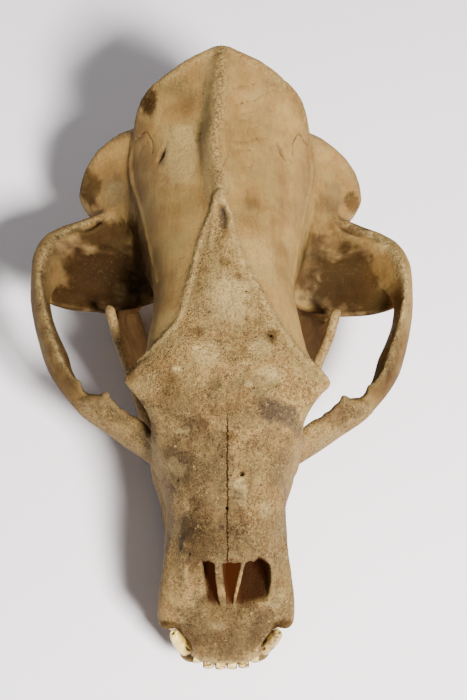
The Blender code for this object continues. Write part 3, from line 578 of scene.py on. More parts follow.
# Cheek arch: y, then rim, widest point, lower edge and inner face.
ARCH = (
    (140, (46, 58), (55, 34), (46, 13), (38, 38)),
    (146, (52, 60), (64, 34), (52, 13), (42, 40)),
    (152, (57, 59), (73, 35), (61, 14), (47, 39)),
    (160, (64, 57), (84, 37), (74, 16), (57, 38)),
    (168, (72, 56), (96, 39), (87, 19), (67, 38)),
    (175, (80, 58.5), (105, 41.5), (97, 21), (75, 39)),
    (181, (86, 62), (110, 43.5), (103, 22), (83, 42)),
    (186, (96, 61), (115, 45), (108, 23), (92, 45)),
    (193, (108, 60), (121, 46), (114, 24), (104, 45)),
    (203, (115, 61), (127, 47), (120, 25), (109, 42)),
    (216, (120.5, 62), (132, 48), (125.5, 26), (113, 41)),
    (232, (125.5, 62), (136.5, 49), (130, 28), (120, 41)),
    (248, (129.5, 62), (139.6, 49), (133, 30), (125.5, 41)),
    (262, (132.5, 61), (141.2, 48), (135, 31), (127.5, 40)),
    (274, (134, 59), (141.3, 47), (133, 29), (123, 36)),
    (286, (132.5, 57), (140.8, 46), (129, 25), (114, 31)),
    (298, (129, 54), (138, 44), (123, 21), (104, 27)),
    (308, (123, 50), (133, 42.5), (115, 19), (94, 26)),
    (318, (112, 46), (123, 38.5), (104, 17), (84, 26)),
    (327, (98, 42), (108, 33), (93, 17), (74, 26)),
    (335, (84, 40), (94, 29), (82, 16), (64, 26)),
)

# Root of the arch: y, upper surface, lower surface.
SHELF = (
    (262.5, ((86, 17.5), (94, 18.5), (103, 21), (113, 25), (122, 29), (129, 34)), ((129, 30), (121, 22), (112, 17), (103, 15), (94, 14), (86, 14.5))),
    (269, ((60, 20), (75, 18), (90, 18.5), (104, 21), (117, 27), (130, 36)), ((130, 27), (117, 16), (104, 10), (90, 7), (75, 7), (60, 12))),
    (276, ((46, 31), (61, 23), (78, 20), (94, 20.5), (112, 26), (130, 38)), ((130, 25), (114, 14), (98, 8), (80, 6.5), (62, 8), (46, 14))),
    (286, ((46, 34), (61, 27), (78, 23.5), (94, 24), (112, 30), (129, 42)), ((128, 24), (114, 13), (98, 9), (80, 8.5), (60, 8), (46, 12))),
    (296, ((46, 38), (61, 31), (78, 28.5), (94, 29.5), (110, 36), (125, 46)), ((122, 22), (110, 10), (98, 0), (80, -7), (60, -7), (46, 6))),
    (305, ((46, 44), (61, 38), (78, 36), (94, 38.5), (107, 43), (118, 47)), ((114, 21), (103, 12), (93, 4), (79, -5), (60, -6), (46, 6))),
    (318, ((48, 50), (62, 43), (76, 39), (90, 39), (101, 41), (110, 43)), ((106, 20), (96, 14), (86, 11), (76, 9), (60, 5), (46, 6))),
    (333, ((48, 52), (62, 46), (74, 40), (84, 36), (92, 33), (98, 30)), ((96, 17), (88, 12), (80, 9), (70, 6), (58, 5), (46, 6))),
)

CAVITY_BACK = 112.0
# Nasal cavity: y, half width, floor, roof.
NOSE = (
    # y, half width, floor, roof
    (20, 20, 34, 80), (27, 24, 27, 82), (36, 26.5, 26.5, 82), (45, 27.5, 26, 78), (56, 27.5, 25, 64.5),
    (66, 25.5, 24, 63.5), (80, 25.5, 22, 67), (96, 25, 22, 73), (CAVITY_BACK, 22, 26, 76),
)

# Body of the jaw: y, middle (x, z), half width, half height; z from the surface.
JAW_BODY = (
    (10.5, 11.5, 38, 13, 8), (16, 13, 33, 15, 15), (28, 14, 28, 17, 21), (45, 17, 25.5, 16, 23.5),
    (62, 22, 24.5, 13, 24), (80, 27.5, 24, 10.2, 24.6), (105, 33, 24.2, 9, 25),
    (135, 37.2, 24.4, 9.4, 25.2), (160, 41.5, 24.4, 9.8, 25.2), (182, 47.5, 24.2, 10.2, 25),
    (200, 54, 25, 10, 25), (218, 56.5, 27, 8, 24), (236, 57.8, 27, 5.5, 20),
)

# Outline (y, z) of the jaw's rising branch; z from the surface.
BRANCH = (
    (186, 47), (193, 58), (204, 66), (213, 76), (221, 87), (230, 99), (239, 110), (246, 118),
    (250, 120.5), (254, 117), (255, 107), (255.5, 96), (256.5, 85), (258.5, 75), (263, 69), (270, 66),
    (280, 65), (287, 60), (284, 50), (282, 40), (285, 31), (292, 25), (299, 20), (301, 14),
    (298, 7), (291, 1.5), (281, -.6), (271, -.4), (259, 2.5), (243, 4.5), (225, 3.5), (205, 2),
    (190, 6), (183, 26),
)

# Teeth: x, y, length, width, height, root, kind, forward lean, outward lean, lift.
UPPER_PLANE = 0.0
LOWER_PLANE = -17.0
UPPER = {
    "incisor_1": (4.05, 5.2, 6.4, 7.6, 10.6, 6.0, "incisor", 22, 0, 0.0),
    "incisor_2": (12.1, 6.3, 6.8, 7.8, 11.4, 6.0, "incisor", 20, 3, 0.0),
    "incisor_3": (19.9, 10.4, 8.0, 7.2, 14.0, 6.5, "incisor", 13, 5, 0.6),
    "canine": (37.2, 37.0, 18.6, 14.0, 31.0, 9.0, "fang", 7, 0, 0.0),
    "premolar_1": (38.0, 54.0, 6.5, 4.6, 4.4, 4.0, "peg", 0, 0, 0.2),
    "premolar_4": (38.6, 116.5, 16.5, 10.5, 7.8, 5.5, "molar", 0, 0, 0.6),
    "molar_1": (42.0, 138.0, 23.0, 15.5, 7.2, 5.5, "molar", 0, 0, 0.8),
    "molar_2": (43.2, 169.5, 37.0, 15.5, 6.8, 5.5, "molar", 0, 0, 1.0),
}

LOWER = {
    "incisor_1": (3.2, 14.0, 5.8, 5.2, 9.6, 5.5, "incisor", 33, 0, -4.2),
    "incisor_2": (9.2, 14.5, 6.0, 5.8, 10.2, 5.5, "incisor", 32, 0, -4.2),
    "incisor_3": (15.5, 15.4, 6.0, 6.0, 10.6, 5.5, "incisor", 27, 5, -3.8),
    "canine": (27.2, 16.9, 12.6, 12.2, 27.0, 8.0, "stub", -12, 22.0, -4.2),
    "premolar_1": (29.0, 44.0, 5.6, 4.4, 4.0, 4.0, "peg", 0, 0, -.4),
    "premolar_4": (35.4, 111.0, 12.5, 7.6, 7.6, 5.5, "molar", 0, 0, -.2),
    "molar_1": (37.6, 131.5, 24.5, 10.8, 8.4, 5.5, "molar", 0, 0, -.2),
    "molar_2": (40.8, 158.6, 26.0, 14.0, 8.0, 5.5, "molar", 0, 0, -.2),
    "molar_3": (46.0, 182.6, 18.5, 12.5, 7.4, 5.5, "molar", 0, 0, -.6),
}


# ------------------------------------------------------------------ cranium
# Lines that the markings and ridges follow, in table millimetres; the third
# value is read from the finished surface where it says so.
TEMPORAL_LEFT = ((4, 292), (4, 281), (10, 260), (18, 245), (31, 220), (48, 196), (58, 189), (68, 180))
TEMPORAL_RIGHT = ((-3, 307), (-16, 281), (-24.6, 250), (-32.4, 220), (-47, 203), (-61, 192), (-69, 182))
NUCHAL_EDGE = ((0, 421.5, 131), (16, 419, 126.5), (27, 415, 123), (40, 408.5, 115), (51, 402.5, 106.5),
               (57.5, 396, 100), (60.5, 390, 93), (61.5, 386, 86), (62.5, 382, 77))
MASTOID_EDGE = ((66, 386, 68), (75, 389.5, 59), (85, 386.5, 50), (93.5, 381.5, 42), (100.5, 374, 32),
                (104, 366, 23), (105, 359, 17), (101.5, 351, 15), (95, 344, 18))


def half_outline(row):
    """Smooth open curve through 16 (x, z) points, level where it meets x = 0."""
    p = np.asarray(row, float)
    ext = np.vstack(([-p[1, 0], p[1, 1]], p, [-p[-2, 0], p[-2, 1]]))
    c = curve_points(ext, 3)
    c = c[3:-3]
    c[0, 0] = 0
    c[-1, 0] = 0
    c[:, 0] = np.maximum(c[:, 0], 0)
    return c


def lofted(clay, ys, rows, lo, hi, closed=True, k=3.0, dense=3, op="add", end=None):
    """Adds a solid given by outlines at ys; rows is (n, m, 2)."""
    s, X, Y, Z = clay.part(lo, hi)
    yq = Y.ravel()
    n, m = len(ys), len(rows[0])
    flat = pchip(ys, np.asarray(rows, float).reshape(n, -1), yq).reshape(len(yq), m, 2)
    u, v = X[:, 0, :], Z[0, :, :]
    out = np.empty((X.shape[0], len(yq), Z.shape[2]), F32)
    for q, y in enumerate(yq):
        poly = half_outline(flat[q]) if not closed else curve_points(flat[q], dense, True, .42)
        d = outline_distance(poly, u, v, closed)
        over = max(ys[0] - y, y - ys[-1], 0.0)
        if over > 0:
            d = np.sqrt(np.maximum(d, 0) ** 2 + over ** 2)
        out[:, q, :] = d
    clay.put(s, out, op, k)


def arch_outline(rim, wide, low, inner):
    def mid(a, b, push):
        mx, mz = (a[0] + b[0]) / 2, (a[1] + b[1]) / 2
        cx = (rim[0] + wide[0] + low[0] + inner[0]) / 4
        cz = (rim[1] + wide[1] + low[1] + inner[1]) / 4
        return (mx + (mx - cx) * push, mz + (mz - cz) * push)
    return (rim, mid(rim, wide, .34), wide, mid(wide, low, .22),
            low, mid(low, inner, .10), inner, mid(inner, rim, .16))


def nose_outline(w, lo, hi, x0, square=0.0):
    h = hi - lo
    return ((x0, hi), (w * .55, hi - h * .02), (w * (.86 + .06 * square), hi - h * (.2 - .12 * square)),
            (w, hi - h * (.45 - .15 * square)),
            (w * .97, lo + h * (.25 - .06 * square)), (w * .8, lo + h * .06), (w * .45, lo), (x0, lo))


GRID = 1.15
cl = Clay((0, -4, -20), (147, 430, 141), GRID)
lofted(cl, sorted(CORE), [CORE[y] for y in sorted(CORE)], (0, -4, -20), (118, 430, 141), closed=False)
core_only = cl.f.copy()
lofted(cl, [a[0] for a in ARCH], [arch_outline(*a[1:]) for a in ARCH],
       (30, 128, 2), (147, 346, 72), k=5.0)
lofted(cl, [a[0] for a in SHELF], [a[1] + tuple(a[2]) for a in SHELF],
       (40, 256, -14), (138, 342, 62), k=4.0)
# crest, rims and ridges
cl.tube([(0, y, z, r) for y, z, r in ((297, 120.8, 1.1), (310, 123.1, 1.2), (334, 126.7, 1.25),
                                       (360, 129.6, 1.3), (395, 132.1, 1.5), (419, 131.6, 2.7))], k=2.4)
cl.tube([(0, y, z, r) for y, z, r in ((290, 114.4, 3.2), (305, 115.6, 4.8), (334, 118.6, 6.4), (360, 121.4, 7.2),
                                       (390, 123.8, 7.4), (410, 125.4, 5.6))], k=13.0)
cl.tube([(x, y, z, 2.3) for x, y, z in NUCHAL_EDGE], k=3.0)
cl.tube([(x, y, z, 2.2) for x, y, z in MASTOID_EDGE], k=3.0)


def back_at(x, z):
    """Rearmost y of the bone at (x, z)."""
    i = int(round((x - cl.lo[0]) / cl.h))
    k = int(round((z - cl.lo[2]) / cl.h))
    return float(cl.lo[1] + cl.h * np.nonzero(cl.f[i, :, k] < 0)[0].max())


for x, z, rx, rz, deep in ((22, 100, 15, 16, 4.2), (30, 78, 16, 15, 3.6), (12, 74, 9, 14, 2.6), (50, 66, 13, 16, 3.0),
                           (46, 42, 9, 11, 3.4), (74, 44, 15, 10, 2.4)):
    yb = back_at(x, z)
    cl.ellipsoid((x, yb + 10 - deep, z), (rx, 10, rz), "cut", 6.0)
cl.tube([(0, 421, 126, 3.2), (0, back_at(0, 108) - .4, 108, 2.9), (0, back_at(0, 90) - .6, 90, 2.4), (0, back_at(0, 72) - .8, 72, 1.9),
         (0, back_at(0, 56) - .8, 56, 1.3)], k=3.0)
cl.tube([(4, back_at(4, 88) - .4, 88, 1.2), (18, back_at(18, 86) - .2, 86, 1.3), (34, back_at(34, 84) - .4, 85, 1.2),
         (46, back_at(46, 80) - .6, 80, .9)], k=3.0)
# squamosal ridge along the foot of the braincase
cl.tube([(48.4, 258, 85, .6), (51.4, 276, 75.5, .9), (53.6, 290, 73.5, 1.1), (56.0, 305, 71.5, 1.2), (59.3, 320, 69, 1.3),
         (63.0, 335, 65, 1.5), (66.5, 350, 60, 1.8), (68, 366, 58.5, 1.8), (65, 380, 68, 1.6)], k=3.0)
# ridge that closes the fossa's floor behind and runs out along the arch
cl.tube([(95, 353, 33.5, 1.2), (88, 342, 36, 1.5), (84, 332, 38.5, 1.6), (88, 324, 41, 1.7), (96, 317, 42.5, 1.7),
         (108, 311, 45, 1.6), (121, 306, 48.5, 1.5)], k=5.0)
cl.tube([(82, 303, 34.5, 1.0), (94, 303, 37, 1.4), (106, 306, 42, 1.2)], k=5.0)
# tip of the cheek bone and the lower rim of the eye socket
cl.tube([(85.5, 178.6, 61, 1.5), (88, 175.5, 57, 3.0), (97, 177.5, 53, 3.8)], k=3.0)
cl.tube([(83.5, 179.5, 60.2, 1.6), (79, 174, 57.5, 2.8), (74, 168.5, 55.8, 3.2), (66, 163, 56, 3.4),
         (58, 156.5, 58.5, 3.2), (53, 149.5, 62, 2.8), (51, 146, 65, 2.6)], k=5.0)
cl.tube([(95, 177, 48, 4.0), (84, 169, 44, 5.0), (70, 160, 44, 5.6)], k=5.0)
# notches before and behind the tip of the cheek bone
for x, y, r in ((96.4, 186.0, 5.8), (90.6, 184.4, 4.6), (77.6, 179.6, 4.4), (72.2, 175.2, 5.4), (65.5, 169.4, 4.6)):
    cl.tube([(x, y - 8.0, 80, r), (x, y, 60, r), (x, y + 14, 26, r)], "cut", 2.4)
# condyles, ear capsules, ear tubes, jugular and mastoid processes
cl.ellipsoid((30, 390, 23), (13.2, 15.5, 16), k=3.0)
cl.ellipsoid((25, 395, 17), (9.5, 10.5, 11.5), k=4.0)
cl.ellipsoid((20, 391, 13), (9, 9, 7), k=4.0)
cl.ellipsoid((45, 335, 8), (20, 21, 8.6), k=4.0)
cl.tube([(52, 336, 9, 8), (68, 338, 12, 8), (84, 340, 15, 8.4)], k=4.0)
cl.tube([(61, 378, 18, 10), (61, 378, 4, 7.4), (61, 378, -7, 4.0), (60.5, 377.5, -9.5, 2.6)], k=4.0)
cl.tube([(86, 366, 6, 9), (85, 364, -5, 5.5)], k=5.0)
cl.ellipsoid((0, 380, 20), (30, 18, 13), k=4.0)
cl.tube([(20, 352, 8, 4.5), (15, 340, 8.5, 3.5)], k=4.0)
# wings beside the rear opening of the nose, with their hooks
cl.tube([(25, 205, 12, 2.0), (24.5, 225, 7, 2.0), (23, 246, 7, 1.9), (22.5, 256, 5, 1.6)], k=3.0)
# tooth-bearing edge
cl.tube([(38.5, 104, 3, 1.5), (41, 116, 3, 3.2), (45, 134, 3, 4.6), (47.5, 150, 3.5, 5.0), (47.5, 170, 3.8, 4.8), (45, 188, 5, 3.4)], k=6.0)
cl.tube([(39.5, 31, 8, 7.2), (40, 46, 22, 6.2), (39, 60, 34, 4.6), (37, 76, 44, 2.2)], k=8.0)

# cavities
s, X, Y, Z = cl.part((0, 210, 20), (60, 396, 112))
brain = (np.sqrt((X / 47) ** 2 + ((Y - 300) / 86) ** 2 + ((Z - 64) / 43) ** 2) - 1) * 40
cl.f[s] = smax(cl.f[s], -smax(brain, core_only[s] + 5.5, 4), 2.0)
cl.ellipsoid((0, 394, 33), (16.5, 26, 13.5), "cut", 3.0)
cl.tube([(0, 392, 34, 12.5), (0, 350, 44, 15)], "cut", 3.0)
lofted(cl, [n[0] for n in NOSE] + [150, 186],
       [nose_outline(*n[1:], 0.0, 1.0 if n[0] < 60 else 0.0) for n in NOSE] + [nose_outline(18, 28, 74, 0.0), nose_outline(12, 34, 60, 0.0)],
       (0, 16, 16), (36, 190, 88), closed=False, k=1.5, op="cut")
s, X, Y, Z = cl.part((0, 40, 28), (34, 74, 90))
lip = np.maximum(Y - (56.9 + 6.5 * (X / 26.0) ** 2.2 + .75 * np.sin(X * .95 + 1.2) + .5 * np.sin(X * 2.3) + .3 * np.sin(X * 4.1 + 2)), X - (26.2 - 4.8 * ramp(Z, 50, 66)))
cl.f[s] = smax(cl.f[s], -smax(lip, 30 - Z, 2.0), 2.0)
cl.tube([(13.5, 50, 40, 9), (15, 70, 46, 10), (14, 100, 52, 11)], "cut", 2.0)
cl.ellipsoid((0, 190, 22.5), (13, 32, 7.2), "cut", 2.0)
cl.tube([(9, 210, 16, 7), (9, 235, 17, 7)], "cut", 2.0)
# jaw joint
s, X, Y, Z = cl.part((40, 262, -18), (120, 300, 14))
roll = np.sqrt((Y - CONDYLE_YZ[0]) ** 2 + (Z - CONDYLE_YZ[1]) ** 2) - (CONDYLE_R + 1.5)
roll = smax(roll, np.abs(X - 84) - 31, 3)
cl.f[s] = smax(cl.f[s], -roll, 1.5)
# canals and small openings
cl.tube([(53, 119, 36, 4.2), (47, 132, 36, 4.6), (44, 150, 36, 4.6), (46, 166, 35, 4.5)], "cut", 2.0, (1, 1, .72))
cl.tube([(55, 156, 74, 2.6), (49, 146, 68, 2.4), (40, 136, 60, 2.0)], "cut", 1.2)
cl.tube([(41, 176, 30, 2.8), (34, 166, 26, 2.4)], "cut", 1.2)
cl.tube([(38, 184, 37, 2.4), (30, 176, 36, 2.0)], "cut", 1.2)
for a, r in (((37, 209, 45), 2.6), ((35, 221, 36), 3.6), ((35, 234, 28), 3.2)):
    cl.tube([(a[0] + 4, a[1] - 3, a[2], r), (a[0] - 9, a[1] + 9, a[2] + 2, r * .8)], "cut", 1.4)
cl.tube([(34, 262, 10, 3.4), (32, 264, 26, 3.0)], "cut", 1.4)
cl.tube([(30, 352, 2, 3.0), (28, 346, 14, 2.4)], "cut", 1.2)
cl.tube([(38, 366, 2, 4.2), (37, 366, 14, 3.4)], "cut", 1.4)
cl.tube([(30, 372, 4, 2.2), (27, 368, 14, 1.8)], "cut", 1.0)
cl.tube([(96, 341, 16, 4.6), (70, 338, 12, 4.2), (56, 336, 12, 3.5)], "cut", 1.6)
cl.tube([(74, 354, -2, 2.4), (73, 353, 8, 2.0)], "cut", 1.0)
cl.ellipsoid((7.5, 38, 4), (3.6, 8.5, 6.5), "cut", 1.5)
cl.tube([(17, 119, 6, 1.7), (16, 117, 14, 1.4)], "cut", 1.0)
cl.tube([(20, 150, 7, 1.2), (20, 150, 12, 1.0)], "cut", .8)
# lower canine's place at the edge of the upper jaw
f31, f17 = math.radians(22.0), math.radians(12)
CANINE_AXIS = np.array((math.sin(f31), math.sin(f17), math.cos(f31) * math.cos(f17)))
CANINE_AXIS /= np.linalg.norm(CANINE_AXIS)
c0 = np.array((27.2, 16.9, -21.2))
rows = [(0, 7.3), (.3, 7.4), (.55, 6.8), (.8, 5.8), (1.0, 4.1)]
cl.tube([(*(c0 + CANINE_AXIS * 30.5 * t), r) for t, r in rows], "cut", 1.6)
for lift in (4, 8, 13, 19):
    cl.tube([(*(c0 + CANINE_AXIS * 30.5 * t + np.array((.02, -.37, .93)) * lift), r - .5) for t, r in rows[1:]],
            "cut", 1.6)
# bone between the incisors, and the thin lip over them
arc = [(0, 5.4), (8, 5.7), (16, 7.8), (21.5, 10.6)]
cl.tube([(x, y - .9, -2.0, 2.5) for x, y in arc], k=1.5)
for drop, back_off, r in ((-4.6, -1.6, 1.7), (-7.2, -2.2, 1.4)):
    cl.tube([(x, y + back_off, drop, r) for x, y in arc[:-1] + [(19.5, 9.6)]], k=2.0)
cl.tube([(x, y - 2.9 + .02 * x, 2.4, .95) for x, y in arc], k=1.4)

cl.mirror()
cl.settle()
cl.soften(1)

# plates inside the nose: two leaves of the ploughshare bone and curled walls

def leaf(side):
    top, foot = (-6.8, -2.6) if side < 0 else (8.8, 5.2)

    def where(X, Y, Z):
        t = (Z - 26) / 38
        return X - (foot + (top - foot) * t + .8 * np.sin(Y / 9.0 + side))
    return where


def clip_leaf(clay, surface, thick, front, y1, z0, z1):
    s, X, Y, Z = clay.part((-14, 30, z0), (16, y1, z1))
    d = np.abs(surface(X, Y, Z)) - thick
    roof = np.interp(Y.ravel(), [40, 56, 66, 80, 96, 112, 150, 186], [66, 66, 65.5, 69, 75, 78, 76, 62])[None, :, None]
    d = smax(d, front(Z) - Y, .8)
    d = smax(d, Z - roof, .5)
    d = smax(d, Y - y1 + 3, .5)
    clay.f[s] = smin(clay.f[s], d.astype(F32), .8)


clip_leaf(cl, leaf(-1), 2.5, lambda Z: 35 + (Z - 26) * .58, 172, 20, 74)
clip_leaf(cl, leaf(1), 1.15, lambda Z: 36 + (Z - 26) * .56, 172, 20, 74)
cl.tube([(-24.0, 73, 60, 4.2), (-22.6, 68, 52, 4.6), (-21.4, 59, 43, 5.0), (-19.4, 49, 34, 4.8), (-17.4, 42, 27.5, 3.9), (-17, 38, 24, 3)], k=4.0)
cl.tube([(-23, 90, 52, 5.0), (-24, 66, 50, 5.0), (-25.5, 52, 38, 4.0), (-25, 44, 29, 3.4)], k=4.0)
cl.tube([(-28, 74, 60, 3.4), (-28.5, 62, 48, 3.2), (-28, 52, 36, 3.0)], k=3.0)
for sd in (-1, 1):
    for q, (cx, cz, r0, r1, ya) in enumerate(((17.5, 44, 5.2, 3.2, 74), (16, 57, 4.6, 2.6, 80),
                                              (18, 33, 4.4, 2.6, 84))):
        s, X, Y, Z = cl.part((3 if sd > 0 else -29, ya - 4, 20), (29 if sd > 0 else -3, 150, 72))
        rr = np.sqrt((X - sd * (cx + .04 * (Y - ya))) ** 2 + (Z - cz - .10 * (Y - ya)) ** 2)
        wall = np.minimum(np.abs(rr - r0) - .95, np.abs(rr - r1 + 1.2) - .9)
        gap = (sd * (X - sd * cx) > 1.5) & (np.abs(Z - cz) < 1.8)
        wall = np.where(gap & (rr > r1), 2.5, wall)
        stalk = np.abs(Z - cz - .10 * (Y - ya)) - .95
        stalk = np.maximum(stalk, (cx + r0 - 1) - sd * X)
        wall = np.minimum(wall, stalk)
        wall = smax(wall, ya - Y + np.abs(Z - cz) * .4, .6)
        wall = smax(wall, Y - 146, .6)
        cl.f[s] = smin(cl.f[s], wall.astype(F32), .6)

# heights of the upper surface, for lines that lie on it
solid_cells = cl.f < 0
top_index = cl.f.shape[2] - 1 - np.argmax(solid_cells[:, :, ::-1], axis=2)
TOPZ = np.where(solid_cells.any(2), cl.lo[2] + top_index * cl.h, -99.0)


def on_top(pts, lift=0.0, n=6):
    """(x, y) points smoothed to a curve that lies on the upper surface."""
    c = curve_points(np.asarray([p[:2] for p in pts], float), n)
    i = np.clip(np.round((c[:, 0] - cl.lo[0]) / cl.h).astype(int), 0, TOPZ.shape[0] - 1)
    j = np.clip(np.round((c[:, 1] - cl.lo[1]) / cl.h).astype(int), 0, TOPZ.shape[1] - 1)
    z = TOPZ[i, j]
    fall = np.nonzero(np.abs(np.diff(z)) > 9)[0]      # the line ends where the surface does
    if len(fall):
        c, z = c[:fall[0] + 1], z[:fall[0] + 1]
    z = np.convolve(np.pad(z, 2, mode="edge"), np.ones(5) / 5, "valid")
    return np.column_stack((c, z + lift))


TL = on_top(TEMPORAL_LEFT, .0)
TR = on_top(TEMPORAL_RIGHT, .0)
for line in (TL, TR):
    cl.tube(np.column_stack((line, 1.3 + .3 * np.sin(np.arange(len(line)) * 1.3))), k=3.0)
FORK = (on_top(((-1.5, 309), (1.0, 300), (4.2, 290), (6.2, 276), (9.0, 262)), .2), on_top(((-3.5, 307), (-7.0, 298), (-9.6, 284), (-11.5, 268)), .1))
cl.tube(np.column_stack((FORK[0], np.linspace(1.9, 1.3, len(FORK[0])))), k=2.2)
cl.tube(np.column_stack((FORK[1], np.linspace(1.6, .9, len(FORK[1])))), k=2.4)
# the hollow in front of the fork, and shallow dips on the brow
for x, y, z, r in ((-1.6, 289, 125.6, (3.4, 13, 7.4)), (2, 192, 132, (9, 16, 19)), (-9, 170, 131, (8, 9, 20)),
                   (2, 150, 124, (10, 18, 19.5)), (30, 171, 130.5, (7, 7, 19)), (-43, 174, 127, (7, 6, 18.6))):
    cl.ellipsoid((x, y, z), r, "cut", 4.0)
for a, b in (((-42.2, 361, 100.0, .8), (-46.2, 354.5, 95.4, 3.0)), ((-45.0, 355, 95.2, 2.4), (-47.0, 351.0, 92.6, 1.4)),
             ((39.6, 362.5, 101.6, .8), (43.6, 356.0, 97.2, 2.7)), ((42.8, 357, 97.4, 2.0), (45.0, 353, 94.5, 1.2)),
             ((48.4, 357, 94.4, .8), (50.8, 353.5, 90.4, 1.7))):
    cl.tube([a, b], "cut", 1.4)

# asymmetric small openings in the roof of the nose and the brow
for x, y, r in ((-23.6, 92, .9), (-1.3, 92, 1.2), (9.1, 113, 1.5), (22, 106.6, .8), (-34.4, 112.7, .9),
                (-27, 65, .8), (49, 176, 1.1), (30, 204.7, 1.2), (13, 236, .9), (-12, 228, .7)):
    i = int(round((x - cl.lo[0]) / cl.h))
    j = int(round((y - cl.lo[1]) / cl.h))
    z = float(TOPZ[i, j])
    cl.tube([(x, y, z + 1.5, r), (x * .96, y + 1.5, z - 4, r * .8)], "cut", .6)

# seams between the bones
WOB = lambda a, s: a * math.sin(s)
seams = []
nasal = [(-1.1 + .45 * math.sin(y * .55) + .3 * math.sin(y * 1.7), y) for y in np.arange(57, 146, 2.0)]
seams.append((on_top(nasal, -.2, 2), .62, .85))
for sd in (-1, 1):
    side_line = [(sd * (19 - .03 * (y - 62) - .0011 * (y - 62) ** 2 + .5 * math.sin(y * .8 + sd)), y)
                 for y in np.arange(62, 160, 3.0)]
    seams.append((on_top(side_line, -.2, 2), .7, .35))
    seams.append((on_top([(sd * (x + .7 * math.sin(x * 1.3)), y + .9 * math.sin(x * .9)) for x, y in
                          zip(np.arange(13, 46, 2.0), 158 - .18 * np.arange(0, 33, 2.0))], -.2, 2), .7, .35))
    for q in range(7):
        y0, xa, xb = 345 + 7.5 * q + 1.7 * math.sin(q * 2.1 + sd), 9 + 3 * math.sin(q * 1.7 + sd) + .4 * q, 27 + 5 * math.sin(q * 2.9 - sd)
        seams.append((on_top([(sd * x, y0 + .55 * (x - xa) + .7 * math.sin(x * .55 + q)) for x in np.arange(xa, xb, 2.5)], -.1, 3), .66,
                      .62 + .2 * math.sin(q * 1.3 + sd)))
    lamb = [(sd * x, y) for x, y in ((62, 366), (58, 369), (52, 371), (46, 378), (42, 386), (34, 395))]
    seams.append((on_top(lamb, -.1, 4), .7, .5))
    crack = [(sd * x, y) for x, y in ((65, 377), (61, 375.5), (57, 377), (54, 373), (51, 366), (52, 360))]
    seams.append((on_top(crack, -.1, 4), .7, 1.0))
    # cheek arch seam, seen on the rim and on the outer face
    seams.append((np.array([(sd * x, y, z) for x, y, z in ((128, 226, 63), (137, 233, 55), (141, 244, 49),
                  (141.5, 258, 44), (140, 270, 38), (136, 281, 31), (128, 288, 25))]), .8, .8))
    # premaxilla, from the nasal opening down to the canine
    seams.append((np.array([(sd * x, y, z) for x, y, z in ((29, 62, 55), (35, 56, 46), (40, 48, 33),
                  (42, 40, 20), (40, 33, 11), (36, 27, 3))]), .75, .45))
    # squamous seam on the wall of the braincase
    seams.append((np.array([(sd * x, y, z) for x, y, z in ((52, 258, 50), (55.5, 268, 62), (56, 284, 70),
                  (58, 300, 74), (61, 318, 74), (63, 336, 69), (67, 352, 60))]), .8, .45))
seams.append((np.array([(.4 * math.sin(y), y, z) for y, z in ((14, 4), (26, 6), (60, 7.5), (85, 8.5),
              (105, 9.4), (133, 10.6), (158, 11.4), (187, 12.5))]), .7, .7))
seams.append((np.array([(x, 128 + .010 * x * x + .8 * math.sin(x), 11 - .004 * x * x) for x in range(-36, 38, 3)]), .7, .5))
seams.append((np.array([(x, 338 + .5 * math.sin(x), 12.5) for x in range(-26, 28, 3)]), .7, .7))
for pts, w, dep in seams:
    cl.groove(pts, w, dep)
cl.f += cl.dent


# ------------------------------------------------------- cranium: skin, masks
def between_lines(x, y):
    """1 between the two temporal lines, and on the snout in front of them."""
    yl = np.array([p[1] for p in TEMPORAL_LEFT[::-1]], float)
    xl = np.array([p[0] for p in TEMPORAL_LEFT[::-1]], float)
    yr = np.array([p[1] for p in TEMPORAL_RIGHT[::-1]], float)
    xr = np.array([p[0] for p in TEMPORAL_RIGHT[::-1]], float)
    a = np.interp(y, yl, xl)
    b = np.interp(y, yr, xr)
    inside = ramp(a - x, -2.5, 1.5) * ramp(x - b, -2.5, 1.5) * (1 - ramp(y, 292, 308))
    return np.where(y < 180, 1.0, inside)


arch_y = np.array([a[0] for a in ARCH], float)
arch_rim = np.array([a[1] for a in ARCH], float)


def rough_mask(p, up):
    x, y, z = p.T
    ax = np.abs(x)
    brow = between_lines(x, y) * np.maximum(ramp(z, 14, 40), ramp(z, -7, 4) * (1 - ramp(y, 120, 150))) * ramp(up, -.8, .1)
    brow *= 1 - .25 * ramp(ax, 34, 50) * (y < 140)
    crest = np.exp(-(x / 4.5) ** 2) * ramp(y, 285, 312) * ramp(z, 108, 118)
    rx = np.interp(y, arch_y, arch_rim[:, 0])
    rz = np.interp(y, arch_y, arch_rim[:, 1])
    rim = np.exp(-((ax - rx) ** 2 + (z - rz) ** 2) / 30.0) * ramp(y, 165, 185) * (1 - ramp(y, 322, 340))
    edge = np.minimum(line_distance(np.column_stack((ax, y, z)), NUCHAL_EDGE),
                      line_distance(np.column_stack((ax, y, z)), MASTOID_EDGE))
    edges = np.exp(-(edge / 5.0) ** 2)
    tl = np.minimum(line_distance(p, TL), line_distance(p, TR))
    lines = np.exp(-(tl / 4.0) ** 2)
    nape = .50 * ramp(y, 388, 402) * (z < 120) * (.7 + .6 * fbm(p, 12, 2, 6))
    return np.clip(np.maximum.reduce((brow * .85, crest, rim, edges * .7, lines, nape)), 0, 1)


